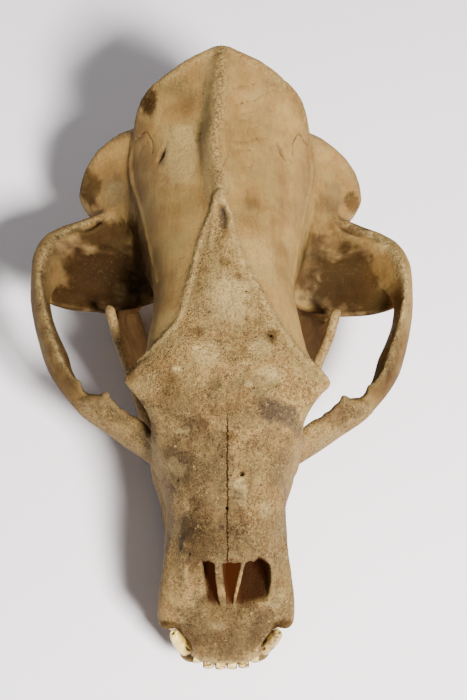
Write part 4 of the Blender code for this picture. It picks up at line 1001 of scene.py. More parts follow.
pos, quads = cl.skin()
pos = smooth_points(pos, quads, 2, .5)
pos, quads = biggest_part(pos, quads)
nrm = point_normals(pos, quads)
rough = rough_mask(pos, nrm[:, 2])
inner = ((np.abs(pos[:, 0]) < 46) & (pos[:, 1] > 216) & (pos[:, 1] < 384)
         & (pos[:, 2] > 22) & (pos[:, 2] < 106)
         & ((nrm * (pos - (0, 300, 64))).sum(1) < 0)).astype(float)
keep = 1 - inner
push = (.30 * fbm(pos, 3.4, 2, 3) * rough + .55 * np.clip(fbm(pos, 9, 2, 5), -.3, 1) * rough
        + .16 * fbm(pos, 7, 2, 9) + .45 * noise(pos, 34, 21)) * keep
ridge_d = np.minimum(line_distance(pos, TL), line_distance(pos, TR))
push += (.85 * noise(pos, 2.7, 13) + .5 * noise(pos, 5.2, 17)) * np.exp(-(ridge_d / 2.6) ** 2)
push += .55 * noise(pos, 3.1, 19) * np.exp(-(pos[:, 0] / 3.4) ** 2) * ramp(pos[:, 1], 290, 310) * ramp(pos[:, 2], 112, 120)
sel = np.nonzero((rough > .3) & (keep > 0))[0]
dist, who = cells_noise(pos[sel], 6.5, 4)
pit = np.exp(-(dist / (.65 + .9 * who)) ** 2) * (who > .45) * rough[sel]
push[sel] -= 1.0 * pit
pos = pos + nrm * push[:, None]
cranium = mesh_object("cranium_bone", pos, quads, 188000)


def bone_masks(ob, clay, spots, is_jaw=False):
    """Masks for the bone material: painted shade in hollows and shut-in places, convex ridges and seams."""
    p, n = table_points(ob)
    x, y, z = p.T
    ax = np.abs(x)
    occ = np.clip(.5 - clay.f / (2 * clay.h), 0, 1).astype(F32)
    near = blurred(occ, 2)
    far = blurred(near, max(2, int(round(8 / clay.h))))
    # painted shade: darker in concave places, and where the surroundings close in around the surface
    hollow_shade = np.clip((clay.read(near, p) - .52) * 4.5, 0, 1)
    ridge = np.clip((.46 - clay.read(near, p)) * 4.5, 0, 1)
    shut_in_shade = np.clip((clay.read(far, p + n * 6.0) - .16) * 2.3, 0, 1)
    seam = clay.read(clay.dent, p) if clay.dent is not None else np.zeros(len(p))
    return p, n, hollow_shade, ridge, shut_in_shade, seam


def soft_spots(p, spots, up=None):
    """Sum of soft ellipses (x, y, z, rx, ry, rz, strength) with ragged edges."""
    out = np.zeros(len(p))
    rag = fbm(p, 11, 3, 77)
    fine = fbm(p, 3.5, 2, 31)
    for cx, cy, cz, rx, ry, rz, w in spots:
        d = np.sqrt(((p[:, 0] - cx) / rx) ** 2 + ((p[:, 1] - cy) / ry) ** 2 + ((p[:, 2] - cz) / rz) ** 2)
        out = np.maximum(out, w * (1 - ramp(d + .55 * rag + .25 * fine, .72, 1.12)))
    return out


# Brown stains, partly painted shade, as in the fossae, at the front of the arches and in pits on the brow.
BROWN_STAINS_AND_SHADE = (
    (-106, 196, 48, 26, 22, 24, .48), (106, 196, 48, 26, 22, 24, .40), (-82, 312, 42, 22, 16, 16, .75), (-66, 262, 40, 14, 30, 26, .6), (-113, 268, 28, 16, 13, 16, .9), (114, 270, 28, 14, 12, 14, .8),
    (-55, 393, 104, 7, 11, 12, .95), (-98, 355, 31, 11, 13, 14, .9), (-103, 366, 29, 9, 12, 14, .7),
    (101, 351, 29, 9, 8, 12, .8), (-96, 296, 24, 36, 33, 20, .92), (98, 293, 24, 34, 32, 20, .80),
    (-60, 300, 40, 16, 36, 22, .6), (66, 290, 40, 15, 32, 18, .5), (-9, 388, 126, 4.5, 16, 10, .35),
    (-72, 350, 50, 14, 14, 12, .25), (30, 205, 113, 4.5, 6, 8, .85), (-22.6, 208, 114, 5, 3.6, 8, .62),
    (7.4, 246, 119, 3.4, 4, 8, .75), (-1.5, 257, 120, 4, 3.5, 8, .6), (21, 214, 114, 3.5, 3, 8, .4),
    (31, 171, 111, 4.6, 3.6, 8, .85), (-10, 170, 111, 5, 3.6, 8, .5), (-44, 175, 109, 8, 4.6, 10, .42),
    (19, 307, 112, 5, 6, 10, .35), (2, 137, 100, 6, 3.5, 8, .5), (-37, 160, 104, 15, 10, 12, .30),
    (-66, 182, 97, 6, 9, 12, .4), (40, 268, 98, 9, 18, 16, .25), (-26, 380, 118, 8, 14, 14, .22),
    (-40, 60, 40, 10, 26, 26, .12), (0, 18, 14, 36, 12, 14, .22), (-20, 75, 70, 14, 20, 14, .28),
    (44, 150, 80, 8, 10, 14, .25), (56, 392, 100, 8, 8, 12, .25), (-58, 150, 60, 10, 14, 14, .4),
)
GREY = (
    (29, 153, 106, 9, 9, 12, .9), (40, 151, 100, 11, 8, 12, .95), (22, 158.5, 108, 6, 4, 9, .6),
    (47, 146, 90, 5, 7, 12, .7), (-82, 350, 46, 15, 12, 14, .42), (86, 350, 44, 9, 12, 14, .4),
    (-1.4, 291, 120, 2.8, 10, 7, 1.0), (-28, 120, 86, 9, 12, 12, .3), (34, 118, 80, 8, 16, 16, .35),
    (-32, 84, 64, 8, 16, 14, .3), (-44, 352, 95, 5, 8, 10, .5), (30, 150, 104, 12, 12, 12, .3),
    (-44, 92, 40, 8, 24, 24, .12),
)
CREAM = (
    (-33, 348, 110, 20, 26, 22, .34), (22, 262, 114, 20, 22, 22, .16), (-84, 346, 50, 14, 12, 12, .18),
    (6.8, 103, 85, 6.0, 9.5, 8, .85), (9, 96, 82, 3.5, 4, 6, .6), (-38, 123, 81, 6, 5, 9, .7), (-33.5, 118, 83, 5, 3.5, 8, .6),
    (-31, 141.5, 98.5, 6.5, 1.8, 7, .75), (-35, 181, 111.5, 2.8, 2.0, 6, .95),
    (11.2, 185, 113, 1.9, 1.9, 6, .9), (13.7, 170.5, 111, 2.0, 2.2, 6, .9), (-22, 195.5, 114, 2.4, 1.6, 6, .7),
    (-50, 177, 107, 1.6, 1.8, 6, .7), (2, 232, 116, 16, 20, 9, .35), (28, 176, 111, 9, 8, 9, .35), (20, 196, 113, 8, 8, 9, .3),
    (-14, 192, 114, 10, 9, 9, .3), (0, 14, 5, 30, 6, 6, .45), (25, 92, 76, 5, 8, 8, .25),
    (-30, 30, 14, 4, 3, 8, .6), (-6, 24, 20, 8, 3, 8, .4), (34, 40, 30, 5, 10, 12, .3),
)
# Darker tone: partly the bone's own darker brown, partly painted shade, as in the fossae, below the eye sockets and on
# the +x side of the braincase.
DARK = (
    (-9, 78, 70, 26, 42, 34, .92), (-22, 126, 88, 30, 30, 32, .90), (0, 24, 18, 42, 26, 30, .78), (14, 74, 68, 24, 26, 24, .62),
    (-40, 60, 40, 14, 40, 40, .12), (20, 116, 84, 20, 34, 24, .45), (-30, 160, 104, 22, 18, 20, .50), (-50, 180, 100, 16, 12, 22, .22),
    (4, 158, 106, 30, 20, 20, .48), (40, 60, 44, 16, 56, 44, .55), (36, 128, 80, 12, 22, 26, .50), (-52, 160, 80, 12, 20, 24, .5),
    (-96, 294, 24, 46, 42, 34, 1.0), (98, 292, 24, 46, 40, 34, 1.0), (-60, 286, 44, 17, 40, 30, .8), (64, 280, 44, 16, 36, 28, .7),
    (-72, 338, 44, 18, 18, 12, .35), (78, 334, 44, 18, 18, 14, .45), (-60, 386, 92, 12, 14, 24, .4), (-34, 392, 116, 22, 18, 14, .35),
    (26, 336, 108, 26, 56, 40, .24), (18, 300, 112, 12, 14, 12, .34), (-78, 174, 60, 26, 16, 22, .65), (78, 174, 60, 26, 16, 22, .65),
    (8, 200, 112, 20, 20, 14, .22), (-14, 226, 114, 12, 20, 14, .28),
)
p, n, hollow_shade, ridge, shut_in_shade, seam = bone_masks(cranium, cl, None)
x, y, z = p.T
ax = np.abs(x)
rough = rough_mask(p, n[:, 2])
brown = soft_spots(p, BROWN_STAINS_AND_SHADE)
grey = soft_spots(p, GREY)
cream = soft_spots(p, CREAM)
# painted shade on faces that point downwards
under_shade = ramp(-n[:, 2], -.1, .7) * .5
depth = ((y - 37) * 40 - (z - 26) * 20.5) / 45
# painted shade and glow inside the nasal opening: stronger deeper in, less on the front edges of the plates and on the
# left wall
inside = np.where(y > 56, ramp(1 - (ax / 28.9) ** 3 - (np.abs(z - 44) / 24.6) ** 3, 0, .10) * ramp(28.8 - ax, 0, 4.0), ramp(28.5 - ax, 0, 4.5) * (z < 66.5)) * ((z > 14) & (y < 192))
nose_in = inside * ramp(depth, -1.0, 4.5)
plate_a = np.abs(x + 2.6 + 4.2 * (z - 26) / 38) < 3.6
plate_b = np.abs(x - 5.2 - 3.6 * (z - 26) / 38) < 2.2
front_edge = 1 - ramp(y - (35 + (z - 26) * .57), 3.0, 9.0)
nose_in = nose_in * (1 - .85 * (plate_a | plate_b) * front_edge)
wall_x = np.interp(z, (24, 66), (13.0, 17.6))
nose_in = nose_in * (1 - .80 * ramp(-x - wall_x, -.6, 1.2) * (1 - ramp(y, 64, 80)))
# inside faces of the braincase, which take painted shade
brain_in = ((ax < 47) & (y > 215) & (y < 398) & (z > 19) & (z < 108)
            & ((n * (p - (0, 300, 64))).sum(1) < 0)).astype(float)
orbit = ramp(ax, 30, 45) * ramp(y, 145, 158) * (1 - ramp(y, 175, 200)) * ramp(60 - z, -30, 10) * (ax < 72)
tl = np.minimum.reduce((line_distance(p, TL), line_distance(p, TR), line_distance(p, FORK[0]), line_distance(p, FORK[1]) + .6))
streak = 1.35 * np.exp(-(tl / 1.8) ** 2) * (.40 + .60 * ramp(noise(p, 4, 3), -.3, .3))
sq = line_distance(np.column_stack((ax, y, z)), ((48.4, 258, 85), (51.4, 276, 75.5), (53.6, 290, 73.5), (56, 305, 71.5),
                                                 (59.3, 320, 69), (63, 335, 65), (66.5, 350, 60), (68, 366, 58.5)))
streak = np.maximum(streak, .42 * np.exp(-(sq / 1.8) ** 2) * ramp(noise(p, 6, 9), -.5, .2))
rim_l = np.exp(-((ax - np.interp(y, arch_y, arch_rim[:, 0])) ** 2 + (z - np.interp(y, arch_y, arch_rim[:, 1])) ** 2) / 12.0)
streak = np.maximum(streak, 1.25 * rim_l * ramp(y, 186, 200) * (1 - ramp(y, 318, 335)) * (.30 + .70 * ramp(noise(p, 2.2, 33), -.15, .25)))
crest_l = np.exp(-(x / 2.6) ** 2) * ramp(y, 296, 306) * ramp(z, 112, 119)
streak = np.maximum(streak, .14 * crest_l * ramp(noise(p, 4, 8), -.5, .3))
edge_line = np.exp(-(line_distance(np.column_stack((ax, y, z)), [(q[0], q[1] - 2.8, 2.8) for q in arc]) / 1.3) ** 2)
streak = np.maximum(streak, .75 * edge_line)
cream = np.maximum(cream, .62 * streak)
mid_p = np.column_stack((ax, y, z))
# painted shade between the bone's edge and the incisors, and a ring of painted shade round the lower canine's notch
gum_line_shade = np.exp(-(line_distance(mid_p, [(q[0], q[1] - 1.6, -2.6) for q in arc]) / 2.6) ** 2) * (z < .9)
gum_line_shade = np.maximum(gum_line_shade, ramp(-z, 3.0, 4.0) * (ax < 22) * (y < 12))
notch_d = line_distance(mid_p, [tuple(c0 + CANINE_AXIS * 30.5 * t) for t in (-.1, .25, .5, .75, 1.1)])
brown = np.maximum.reduce((brown, .95 * gum_line_shade, .85 * ramp(10.0 - notch_d, 0, 1.7) * (z > -14)))
cream = cream * (1 - .8 * gum_line_shade)
flank = np.exp(-((x + 8.5) / 5.5) ** 2) * ramp(y, 300, 322) * ramp(z, 98, 110) * (.38 + .2 * fbm(p, 12, 2, 12))
cream = np.maximum(cream, flank)
# painted glow: golden tint where thin bone lets light through
glow_gold = np.clip(.35 * ramp(ax, 95, 120) + .08 * ramp(y, 230, 300) * (1 - rough), 0, 1)
by_crest = np.exp(-(x / 13.0) ** 2) * ramp(y, 280, 300) * ramp(z, 104, 112)
hollow_shade = hollow_shade * (1 - .85 * by_crest) * (1 - .6 * np.exp(-(tl / 7.0) ** 2))
shut_in_shade = shut_in_shade * (1 - .85 * by_crest)
set_mask(cranium, "marks", rough, brown, cream, grey)
front_shelf = ramp(ax, 50, 62) * ramp(128 - ax, 0, 8) * ramp(282 - y, 0, 14) * ramp(y, 246, 254) * ramp(z, 0, 8) * ramp(50 - z, 0, 8)
hollow_shade = hollow_shade * (1 - .75 * front_shelf)
shut_in_shade = shut_in_shade * (1 - .45 * front_shelf)
# third channel: painted shade and glow inside the nose and deep in the eye sockets
set_mask(cranium, "depth", hollow_shade, shut_in_shade, np.maximum(nose_in, .8 * orbit * shut_in_shade), seam)
dark = soft_spots(p, DARK)
rx_, rz_ = np.interp(y, arch_y, arch_rim[:, 0]), np.interp(y, arch_y, arch_rim[:, 1])
# painted shade: the arches are darker on the -x side, on their inner walls and on the front of the shelf
on_arch = ramp(ax, 78, 92) * ramp(y, 176, 190) * (1 - ramp(y, 318, 336)) * ramp(z, 6, 14)
front_arch = 1 - ramp(y, 226, 262)
side_arch = np.where(x < 0, .66 + .34 * front_arch, .04 + .90 * front_arch)
inner_wall = on_arch * ramp(-n[:, 0] * np.sign(x), .15, .75) * ramp(y, 196, 214)
dark = np.maximum(dark, on_arch * side_arch * (.75 + .5 * np.clip(fbm(p, 9, 2, 15), -.5, .5)))
dark = np.maximum(dark, inner_wall)
dark = dark * (1 - .62 * inner_wall * (x > 0))
glow_gold = np.maximum(glow_gold, .85 * inner_wall * (x > 0))
dark = np.maximum(dark, front_shelf * np.where(x < 0, .80, .62 * ramp(ax, 62, 74)))
dark = np.clip(dark + .28 * fbm(p, 14, 3, 41) * (rough + .3), 0, 1)
ridge = ridge * (1 - .7 * by_crest)
set_mask(cranium, "tone", ridge, np.maximum(under_shade, brain_in), glow_gold, dark)
v = to_world(warp(p))
cranium.data.vertices.foreach_set("co", v.astype(F32).ravel())
cranium.data.update()


# --------------------------------------------------------------- lower jaw
jw = Clay((0, 2, -69), (116, 306, 57), GRID)
Z0 = -TOOTH_PLANE


def jaw_outline(cx, cz, hw, hh):
    out = []
    for i in range(12):
        a = math.tau / 24 + i * math.tau / 12
        c, s = math.cos(a), math.sin(a)
        out.append((cx + hw * math.copysign(abs(c) ** .78, c),
                    Z0 + cz + hh * 1.02 * math.copysign(abs(s) ** .78, s)))
    return out


s, X, Y, Z = jw.part((0, 2, -69), (116, 306, 57))
lofted(jw, [b[0] for b in JAW_BODY], [jaw_outline(*b[1:]) for b in JAW_BODY],
       (0, 2, -69), (84, 250, 0), k=3.0)
# chin, where the two halves are grown together
lofted(jw, [14, 30, 50, 66, 76],
       [[(w * math.cos(a), Z0 + cz + h * math.sin(a)) for a in (i * math.tau / 12 for i in range(12))]
        for w, cz, h in ((10, 35, 11), (15, 29, 18), (17, 24, 18), (16, 20, 13), (12, 18, 7))],
       (0, 2, -69), (30, 90, -10), k=5.0)
# rising branch: a thin plate with thicker edges
yy = jw.ax[1][:, None]
zz = jw.ax[2][None, :]
edge = outline_distance(curve_points(np.array(BRANCH, float) + (0, Z0), 3, True, .4), yy, zz)
zs = zz - Z0
lean = np.clip(0.175 * (zs - 12), -2, 16)
fade = np.clip((yy - 262) / 25, 0, 1)
tuck = 12.5 * np.clip((yy - 200) / 58, 0, 1) * (1 - np.clip((zs - 14) / 52, 0, 1))
mid_x = (50 + 0.285 * (yy - 190) + lean * (1 - 0.55 * fade) - tuck).astype(F32)
half_t = 4.0 - 2.2 * np.clip((zs - 40) / 70, 0, 1)
rim_t = 1.3 * np.exp(-((edge + 2.0) / 4.0) ** 2) * (zs > 50)
scoop = 1.5 * np.exp(-(((yy - 240) / 22) ** 2 + ((zs - 62) / 24) ** 2))
half_t = (half_t + rim_t - scoop * .4).astype(F32)
plate_d = np.abs(jw.ax[0][:, None, None] - (mid_x - scoop.astype(F32))[None]) * .95 - half_t[None]
plate_d = smax(plate_d, edge[None] + .4, 3.0)
jw.f = smin(jw.f, plate_d.astype(F32), 4.0)
# thick front border of the branch
front = [(y, z) for y, z in BRANCH if 186 <= y <= 250 and z > 46][:8]
jw.tube([(float(50 + .285 * (y - 190) + min(max(.175 * (z - 12), -2), 16)) - .3, y + 1.8, Z0 + z - 1.5,
          3.6 - .018 * (z - 47)) for y, z in front], k=3.0)
# joint roller and its neck
jw.tube([(x, CONDYLE_YZ[0] + dy, CONDYLE_YZ[1], r) for x, r, dy in
         ((CONDYLE_X[0] + 4.5, 4.8, 2), (CONDYLE_X[0] + 8, 7.6, 1.2), (75, CONDYLE_R, 0),
          (92, CONDYLE_R - .4, -.6), (CONDYLE_X[1] - 7, 7.6, -1.2), (CONDYLE_X[1] - 4.5, 4.6, -2))], k=2.0)
jw.tube([(71.5, 276, -32, 6), (77, 278, -20, 7.5), (80, 280, -9, 8)], k=5.0)
jw.tube([(66, 279, -12, 5), (78, 280, -9, 8), (95, 281, -8, 6)], k=5.0)
# angle: hook at the rear, ridge for the chewing muscle
jw.tube([(60.5, 262, -60, 4.5), (65.5, 280, -56, 4.5), (70.5, 297, -48, 3.2)], k=4.0)
jw.tube([(54.5, 232, -62, 4.5), (59, 256, -61, 4.5)], k=5.0)
# socket swelling of the canine
jw.tube([(13.5, 26, -40, 9.0), (19.5, 20, -30, 9.2), (24.5, 16.5, -24, 8.6)], k=5.0)
jw.tube([(34.5, 108, -19.5, 4.0), (38, 132, -19.5, 4.6), (41, 158, -19.8, 5.2), (45.5, 186, -20.5, 5.0)], k=4.0)
# openings for nerves
jw.tube([(30, 54, -38, 2.4), (22, 50, -38, 1.8)], "cut", 1.2)
jw.tube([(35, 72, -40, 1.6), (27, 70, -40, 1.4)], "cut", 1.0)
jw.tube([(49.6, 244, -28, 3.8), (60.6, 232, -34, 3.0)], "cut", 1.5)
# hollow for the chewing muscle on the outer face
jw.ellipsoid((81.2, 246, -26), (11, 26, 22), "cut", 6.0)
s, X, Y, Z = jw.part((0, 2, -69), (116, 306, -62))
jw.f[s] = smax(jw.f[s], (Z0 + .05) - Z, .6)
jw.mirror()
jw.settle()
jw.soften(1)
s, X, Y, Z = jw.part((-116, 2, -69), (116, 306, -62))
jw.f[s] = np.maximum(jw.f[s], (Z0 + .02) - Z)
jw.groove(np.array([(.4 * math.sin(y * 1.3), y, z) for y, z in ((9, -27), (8, -36), (10, -44), (18, -53), (32, -59),
                                                             (50, -61), (66, -59))]), .8, 1.0)
jw.groove(np.array([(.3, 14, -19), (.3, 30, -20), (.3, 48, -28), (.3, 66, -36)]), .8, .8)
jw.f += jw.dent
pos, quads = jw.skin()
pos = smooth_points(pos, quads, 2, .5)
pos, quads = biggest_part(pos, quads)
nrm = point_normals(pos, quads)
push = .14 * fbm(pos, 5, 2, 59) + .35 * noise(pos, 26, 61)
al = np.exp(-((pos[:, 2] + 18) / 3.0) ** 2) * (pos[:, 1] < 200)
push += .35 * fbm(pos, 3, 2, 5) * al
push *= ramp(pos[:, 2], Z0 + .5, Z0 + 3)
pos = pos + nrm * push[:, None]
mandible = mesh_object("mandible_bone", pos, quads, 110000)
p, n, hollow_shade, ridge, shut_in_shade, seam = bone_masks(mandible, jw, None)
x, y, z = p.T
ax = np.abs(x)
fine = np.exp(-((z + 18) / 4.0) ** 2) * (y < 200) * .8
fine = np.maximum(fine, .5 * ramp(40 - y, 0, 25))
fine = np.maximum(fine, .75 * ramp(z, -6, 10))
roll = ramp(12.5 - np.sqrt((y - 281) ** 2 + (z + 3) ** 2), 0, 3) * (z > -12)
brown = soft_spots(p, ((86, 276, -3, 30, 14, 14, .95), (-86, 276, -3, 30, 14, 14, .95), (-60, 290, -30, 22, 20, 24, .4), (44, 120, -58, 12, 30, 10, .4), (0, 20, -50, 20, 18, 14, .4)))
grey = soft_spots(p, ((40, 90, -30, 10, 26, 16, .4), (-40, 150, -45, 12, 26, 14, .4)))
# painted glow: golden tint on the thin branch of the jaw
glow_gold = np.clip(.35 * ramp(z, -12, 14) + .3 * ramp(y, 200, 240), 0, 1)
front_line = np.array([(float(50 + .285 * (b - 190) + min(max(.175 * (c - 12), -2), 16)), b, Z0 + c) for b, c in front])
lit = .5 * np.exp(-(line_distance(np.column_stack((ax, y, z)), front_line) / 3.2) ** 2) * ramp(noise(p, 2.0, 19), -.05, .35)
lit = np.maximum(lit, .8 * np.exp(-((z - 46) / 5.0) ** 2) * ramp(ax, 60, 66) * ramp(noise(p, 3.2, 27), -.2, .3))
set_mask(mandible, "marks", fine, brown, lit * (1 - roll), grey)
# painted glow on the inner face of the branch, which also takes away the painted shade there
inward = ramp(-n[:, 0] * np.sign(x), -.1, .5) * ramp(y, 196, 214) * ramp(z, -58, -30) * (1 - .5 * ramp(z, 20, 50))
inward = np.clip(inward * (.9 + .5 * fbm(p, 20, 2, 71)), 0, 1)
set_mask(mandible, "depth", hollow_shade, shut_in_shade * (1 - inward), inward, seam)
# tone: ridges, painted shade on downward faces, golden painted glow, darker tone
set_mask(mandible, "tone", ridge, ramp(-n[:, 2], .2, .9) * .35, glow_gold, np.clip(.25 + .4 * fbm(p, 16, 3, 23) + .3 * (1 - ramp(y, 190, 230)), 0, 1))
v = to_world(warp(p))
mandible.data.vertices.foreach_set("co", v.astype(F32).ravel())
mandible.data.update()


# -------------------------------------------------------------------- teeth
# Cusps of the cheek teeth: share of the width (+ is outwards), share of the
# length (+ is forwards), share of the height, spread in mm.
CUSPS = {
    "upper_premolar_4": ((.22, .22, 1.0, 3.2), (.24, -.26, .8, 2.8), (-.26, -.18, .62, 2.4)),
    "upper_molar_1": ((.27, .24, 1.0, 3.2), (.27, -.20, .96, 3.2), (-.26, .22, .72, 3.0), (-.27, -.20, .7, 3.0),
                      (.30, .44, .5, 1.8), (.30, -.44, .5, 1.8)),
    "upper_molar_2": ((.27, .34, 1.0, 3.4), (.26, .12, .85, 3.0), (-.24, .34, .7, 3.0), (-.27, .12, .62, 3.0),
                      (.10, -.14, .5, 4.0), (-.14, -.30, .45, 4.0), (.02, -.42, .4, 3.2)),
    "lower_premolar_4": ((.02, .10, 1.0, 3.2), (-.04, -.30, .55, 2.2), (.0, .40, .5, 1.6)),
    "lower_molar_1": ((.05, .36, .78, 2.6), (.06, .08, 1.0, 3.2), (-.26, -.04, .72, 2.2), (.18, -.30, .72, 2.6),
                      (-.24, -.32, .62, 2.4)),
    "lower_molar_2": ((.22, .28, .9, 3.2), (-.24, .28, .85, 3.0), (.22, -.20, .7, 3.0), (-.24, -.24, .66, 2.8),
                      (.0, .44, .5, 2.2), (.0, -.42, .5, 2.6)),
    "lower_molar_3": ((.18, .22, .8, 3.2), (-.20, .20, .75, 3.0), (.05, -.22, .62, 3.4)),
}


def build_tooth(name, spec, side, plane, sgn, seed):
    x0, y0, length, width, h, root, kind, fwd, out, dz = spec
    f, o = math.radians(fwd), math.radians(out)
    axis = np.array((math.sin(o), -math.sin(f), sgn * math.cos(f) * math.cos(o)))
    axis /= np.linalg.norm(axis)
    fy = np.array((0, 1, 0)) - axis * axis[1]
    fy /= np.linalg.norm(fy)
    fx = np.cross(axis, fy)
    if fx[0] < 0:
        fx = -fx
    step = .42
    if kind in ("fang", "stub"):
        step *= 1.15
    a, b = width / 2, length / 2
    t = Clay((-a - 2, -b - 3, -root - 2), (a + 2, b + 3, h + 2), step)
    U, V, W = t.ax[0][:, None, None], t.ax[1][None, :, None], t.ax[2][None, None, :]
    w1 = t.ax[2]
    if kind in ("fang", "stub"):
        key = np.array((-root - 2, -root * .5, -1.0, h * .06, h * .25, h * .45, h * .7, h * .88, h * .97, h))
        val = np.array(((.60, .60), (.84, .84), (.95, .95), (1.0, 1.0), (.95, .95), (.84, .84), (.58, .60),
                        (.36, .38), (.20, .21), (.06, .06)))
        if kind == "stub":
            val[4:] = ((.98, .99), (.92, .94), (.79, .82), (.63, .67), (.50, .54), (.36, .39))
        rr = pchip(key, val, w1)
        bend = (.02 if kind == "stub" else .10) * length * (w1 / h) ** 2 * np.where(w1 > 0, 1, 0)
        ra = (a * rr[:, 1])[None, None, :]
        rb = (b * rr[:, 0])[None, None, :]
        vv = V - bend[None, None, :]
        # the front face is rounder than the rear one
        rb2 = np.where(vv > 0, rb * 1.0, rb * .98)
        d = (np.sqrt((U / ra) ** 2 + (vv / rb2) ** 2) - 1) * np.minimum(ra, rb)
        d = smax(d, W - h, 1.2)
        ridge = .35 * np.exp(-((U / ra + .75) / .22) ** 2) * (W > 1)
        d = d - ridge
        d = d + .25 * np.exp(-((W + .4) / .8) ** 2)          # neck between crown and root
        if sgn > 0:      # worn faces
            n1 = np.array((-.72, .30, .62))
            n1 /= np.linalg.norm(n1)
            d = smax(d, U * n1[0] + V * n1[1] + W * n1[2] - (h * .62 + 3.6), 1.0)
            n2 = np.array((.50, -.34, .80))
            n2 /= np.linalg.norm(n2)
            d = smax(d, U * n2[0] + V * n2[1] + W * n2[2] - (h * .80 + .8), .7)
            d = smax(d, 1.5 - np.sqrt((U - a * .10) ** 2 + (V - b * .15) ** 2 + (W - h * .955) ** 2), .5)
            # broken-out pits
            pits = ((-.92, -.10, .52, 2.0, 1.7, 3.6), (-.6, -.70, .30, 1.2, 1.4, 3.0)) if side > 0 else ((-.88, .18, .80, 1.3, 1.3, 1.9), (-.70, -.62, .34, 1.1, .9, 5.0))
            for pu, pv, pw, ru, rv, rw in pits:
                d = smax(d, (1 - np.sqrt(((U - pu * a) / ru) ** 2 + ((V - pv * b) / rv) ** 2 + ((W - pw * h) / rw) ** 2)) * rv, .35)
        else:
            d = smax(d, W * .93 - U * .2 + V * .3 - h * .86, 1.0)
    elif kind == "incisor":
        key = np.array((-root - 2, -root * .5, -.6, h * .3, h * .6, h * .85, h))
        val = np.array(((.45, .5), (.70, .84), (.82, .97), (.96, 1.0), (1.0, 1.0), (.90, 1.0), (.70, .97)))
        rr = pchip(key, val, w1)
        ra = (a * rr[:, 1])[None, None, :]
        rb = (b * rr[:, 0])[None, None, :]
        d = ((np.abs(U / ra) ** 5.0 + np.abs(V / rb) ** 5.0) ** (1 / 5.0) - 1) * np.minimum(ra, rb)
        top = h * (.80 + .10 * np.cos(U / a * 4.2) - .25 * V / b)
        d = smax(d, (W - top) * .9, .8)
        d = d + .45 * np.exp(-((U - a * .42) / .55) ** 2 - ((V - b * .8) / 1.6) ** 2) * (W > 0)
        d = d + .45 * np.exp(-((U + a * .42) / .55) ** 2 - ((V - b * .8) / 1.6) ** 2) * (W > 0)
        d = d + .2 * np.exp(-((W + .3) / .6) ** 2)
    elif kind == "peg":
        rr = pchip(np.array((-root - 2, -.5, h * .4, h * .8, h)),
                   np.array(((.5, .5), (.8, .8), (1, 1), (.75, .7), (.3, .3))), w1)
        ra = (a * rr[:, 1])[None, None, :]
        rb = (b * rr[:, 0])[None, None, :]
        d = (np.sqrt((U / ra) ** 2 + (V / rb) ** 2) - 1) * np.minimum(ra, rb)
        d = smax(d, W - h * .95, 1.4)
    else:
        key = np.array((-root - 2, -.8, h * .28, h * .6, h))
        val = np.array(((.86, .78), (.88, .84), (1.0, 1.0), (.97, .93), (.88, .78)))
        rr = pchip(key, val, w1)
        ra = (a * rr[:, 1])[None, None, :]
        rb = (b * rr[:, 0])[None, None, :]
        taper = 1 - (.20 if "upper_molar_2" in name else .05) * ramp(V / b, -.2, 1.0) if "upper_molar_2" in name else 1.0
        waist = 1 - .07 * np.exp(-(V / (b * .22)) ** 2)
        wx = ra * waist * taper
        d = ((np.abs(U / wx) ** 2.8 + np.abs(V / rb) ** 2.8) ** (1 / 2.8) - 1) * np.minimum(ra, rb)
        base = name[:-5] if name.endswith("_left") else name[:-6]
        top = np.full((len(t.ax[0]), len(t.ax[1])), h * .40)
        u2, v2 = t.ax[0][:, None], t.ax[1][None, :]
        for cu, cv, ch, cs in CUSPS[base]:
            bump = h * ch * .62 * np.exp(-(((u2 - cu * width) ** 2 + (v2 + cv * length) ** 2) / (cs * cs)))
            top = np.maximum(top, h * .36 + bump)
        fu, fv = np.meshgrid(t.ax[0], t.ax[1], indexing="ij")
        q = np.column_stack((fu.ravel(), fv.ravel(), np.full(fu.size, seed * 7.3)))
        wr = fbm(q, 2.6, 2, seed).reshape(fu.shape)
        top = top + .45 * wr * (1.0 if "molar" in name else .5)
        rimv = .10 * h * np.exp(-((np.abs(u2) - a * .78) / 1.3) ** 2)
        top = top + rimv
        d = smax(d, (W - top[:, :, None]) * .85, .9)
        d = d + .3 * np.exp(-((W + .6) / .7) ** 2)
        legs = None
        for lv in ((-.30, .30) if length > 12 else (-.24, .24)):
            leg = np.sqrt((U / 1.25) ** 2 + (V - lv * length) ** 2) - (b * .36 - .10 * np.abs(W))
            legs = leg if legs is None else np.minimum(legs, leg)
        d = np.where(W < -1.6, smin(smax(d, np.maximum(-1.6 - W, -9) * .0 + (-1.6 - W), 1.0), smax(legs, W + 1.0, .8), 1.5), d)
    d = smax(d, -root - W, 1.0)
    t.f = d.astype(F32)
    pos, quads = t.skin()
    pos = smooth_points(pos, quads, 2, .5)
    pos, quads = biggest_part(pos, quads)
    nrm = point_normals(pos, quads)
    bumpy = .34 if kind == "stub" else .10
    pos = pos + nrm * (bumpy * fbm(pos + seed * 13, 4.5, 2, seed)[:, None])
    local = pos
    base_pt = np.array((x0, y0, plane + dz))
    p = base_pt + local[:, :1] * fx + local[:, 1:2] * fy + local[:, 2:3] * axis
    if np.dot(np.cross(fx, fy), axis) < 0:
        quads = quads[:, ::-1]
    if side < 0:
        p[:, 0] *= -1
        quads = quads[:, ::-1]
    goal = {"fang": 7000, "stub": 7000, "incisor": 2600, "peg": 1400}.get(kind, 7000)
    ob = mesh_object(name + "_enamel", p, quads, goal)
    tp, nn = table_points(ob)
    rel = (tp * (side, 1, 1) if side < 0 else tp) - base_pt
    hgt = rel @ axis
    uu, vv = rel @ fx, rel @ fy
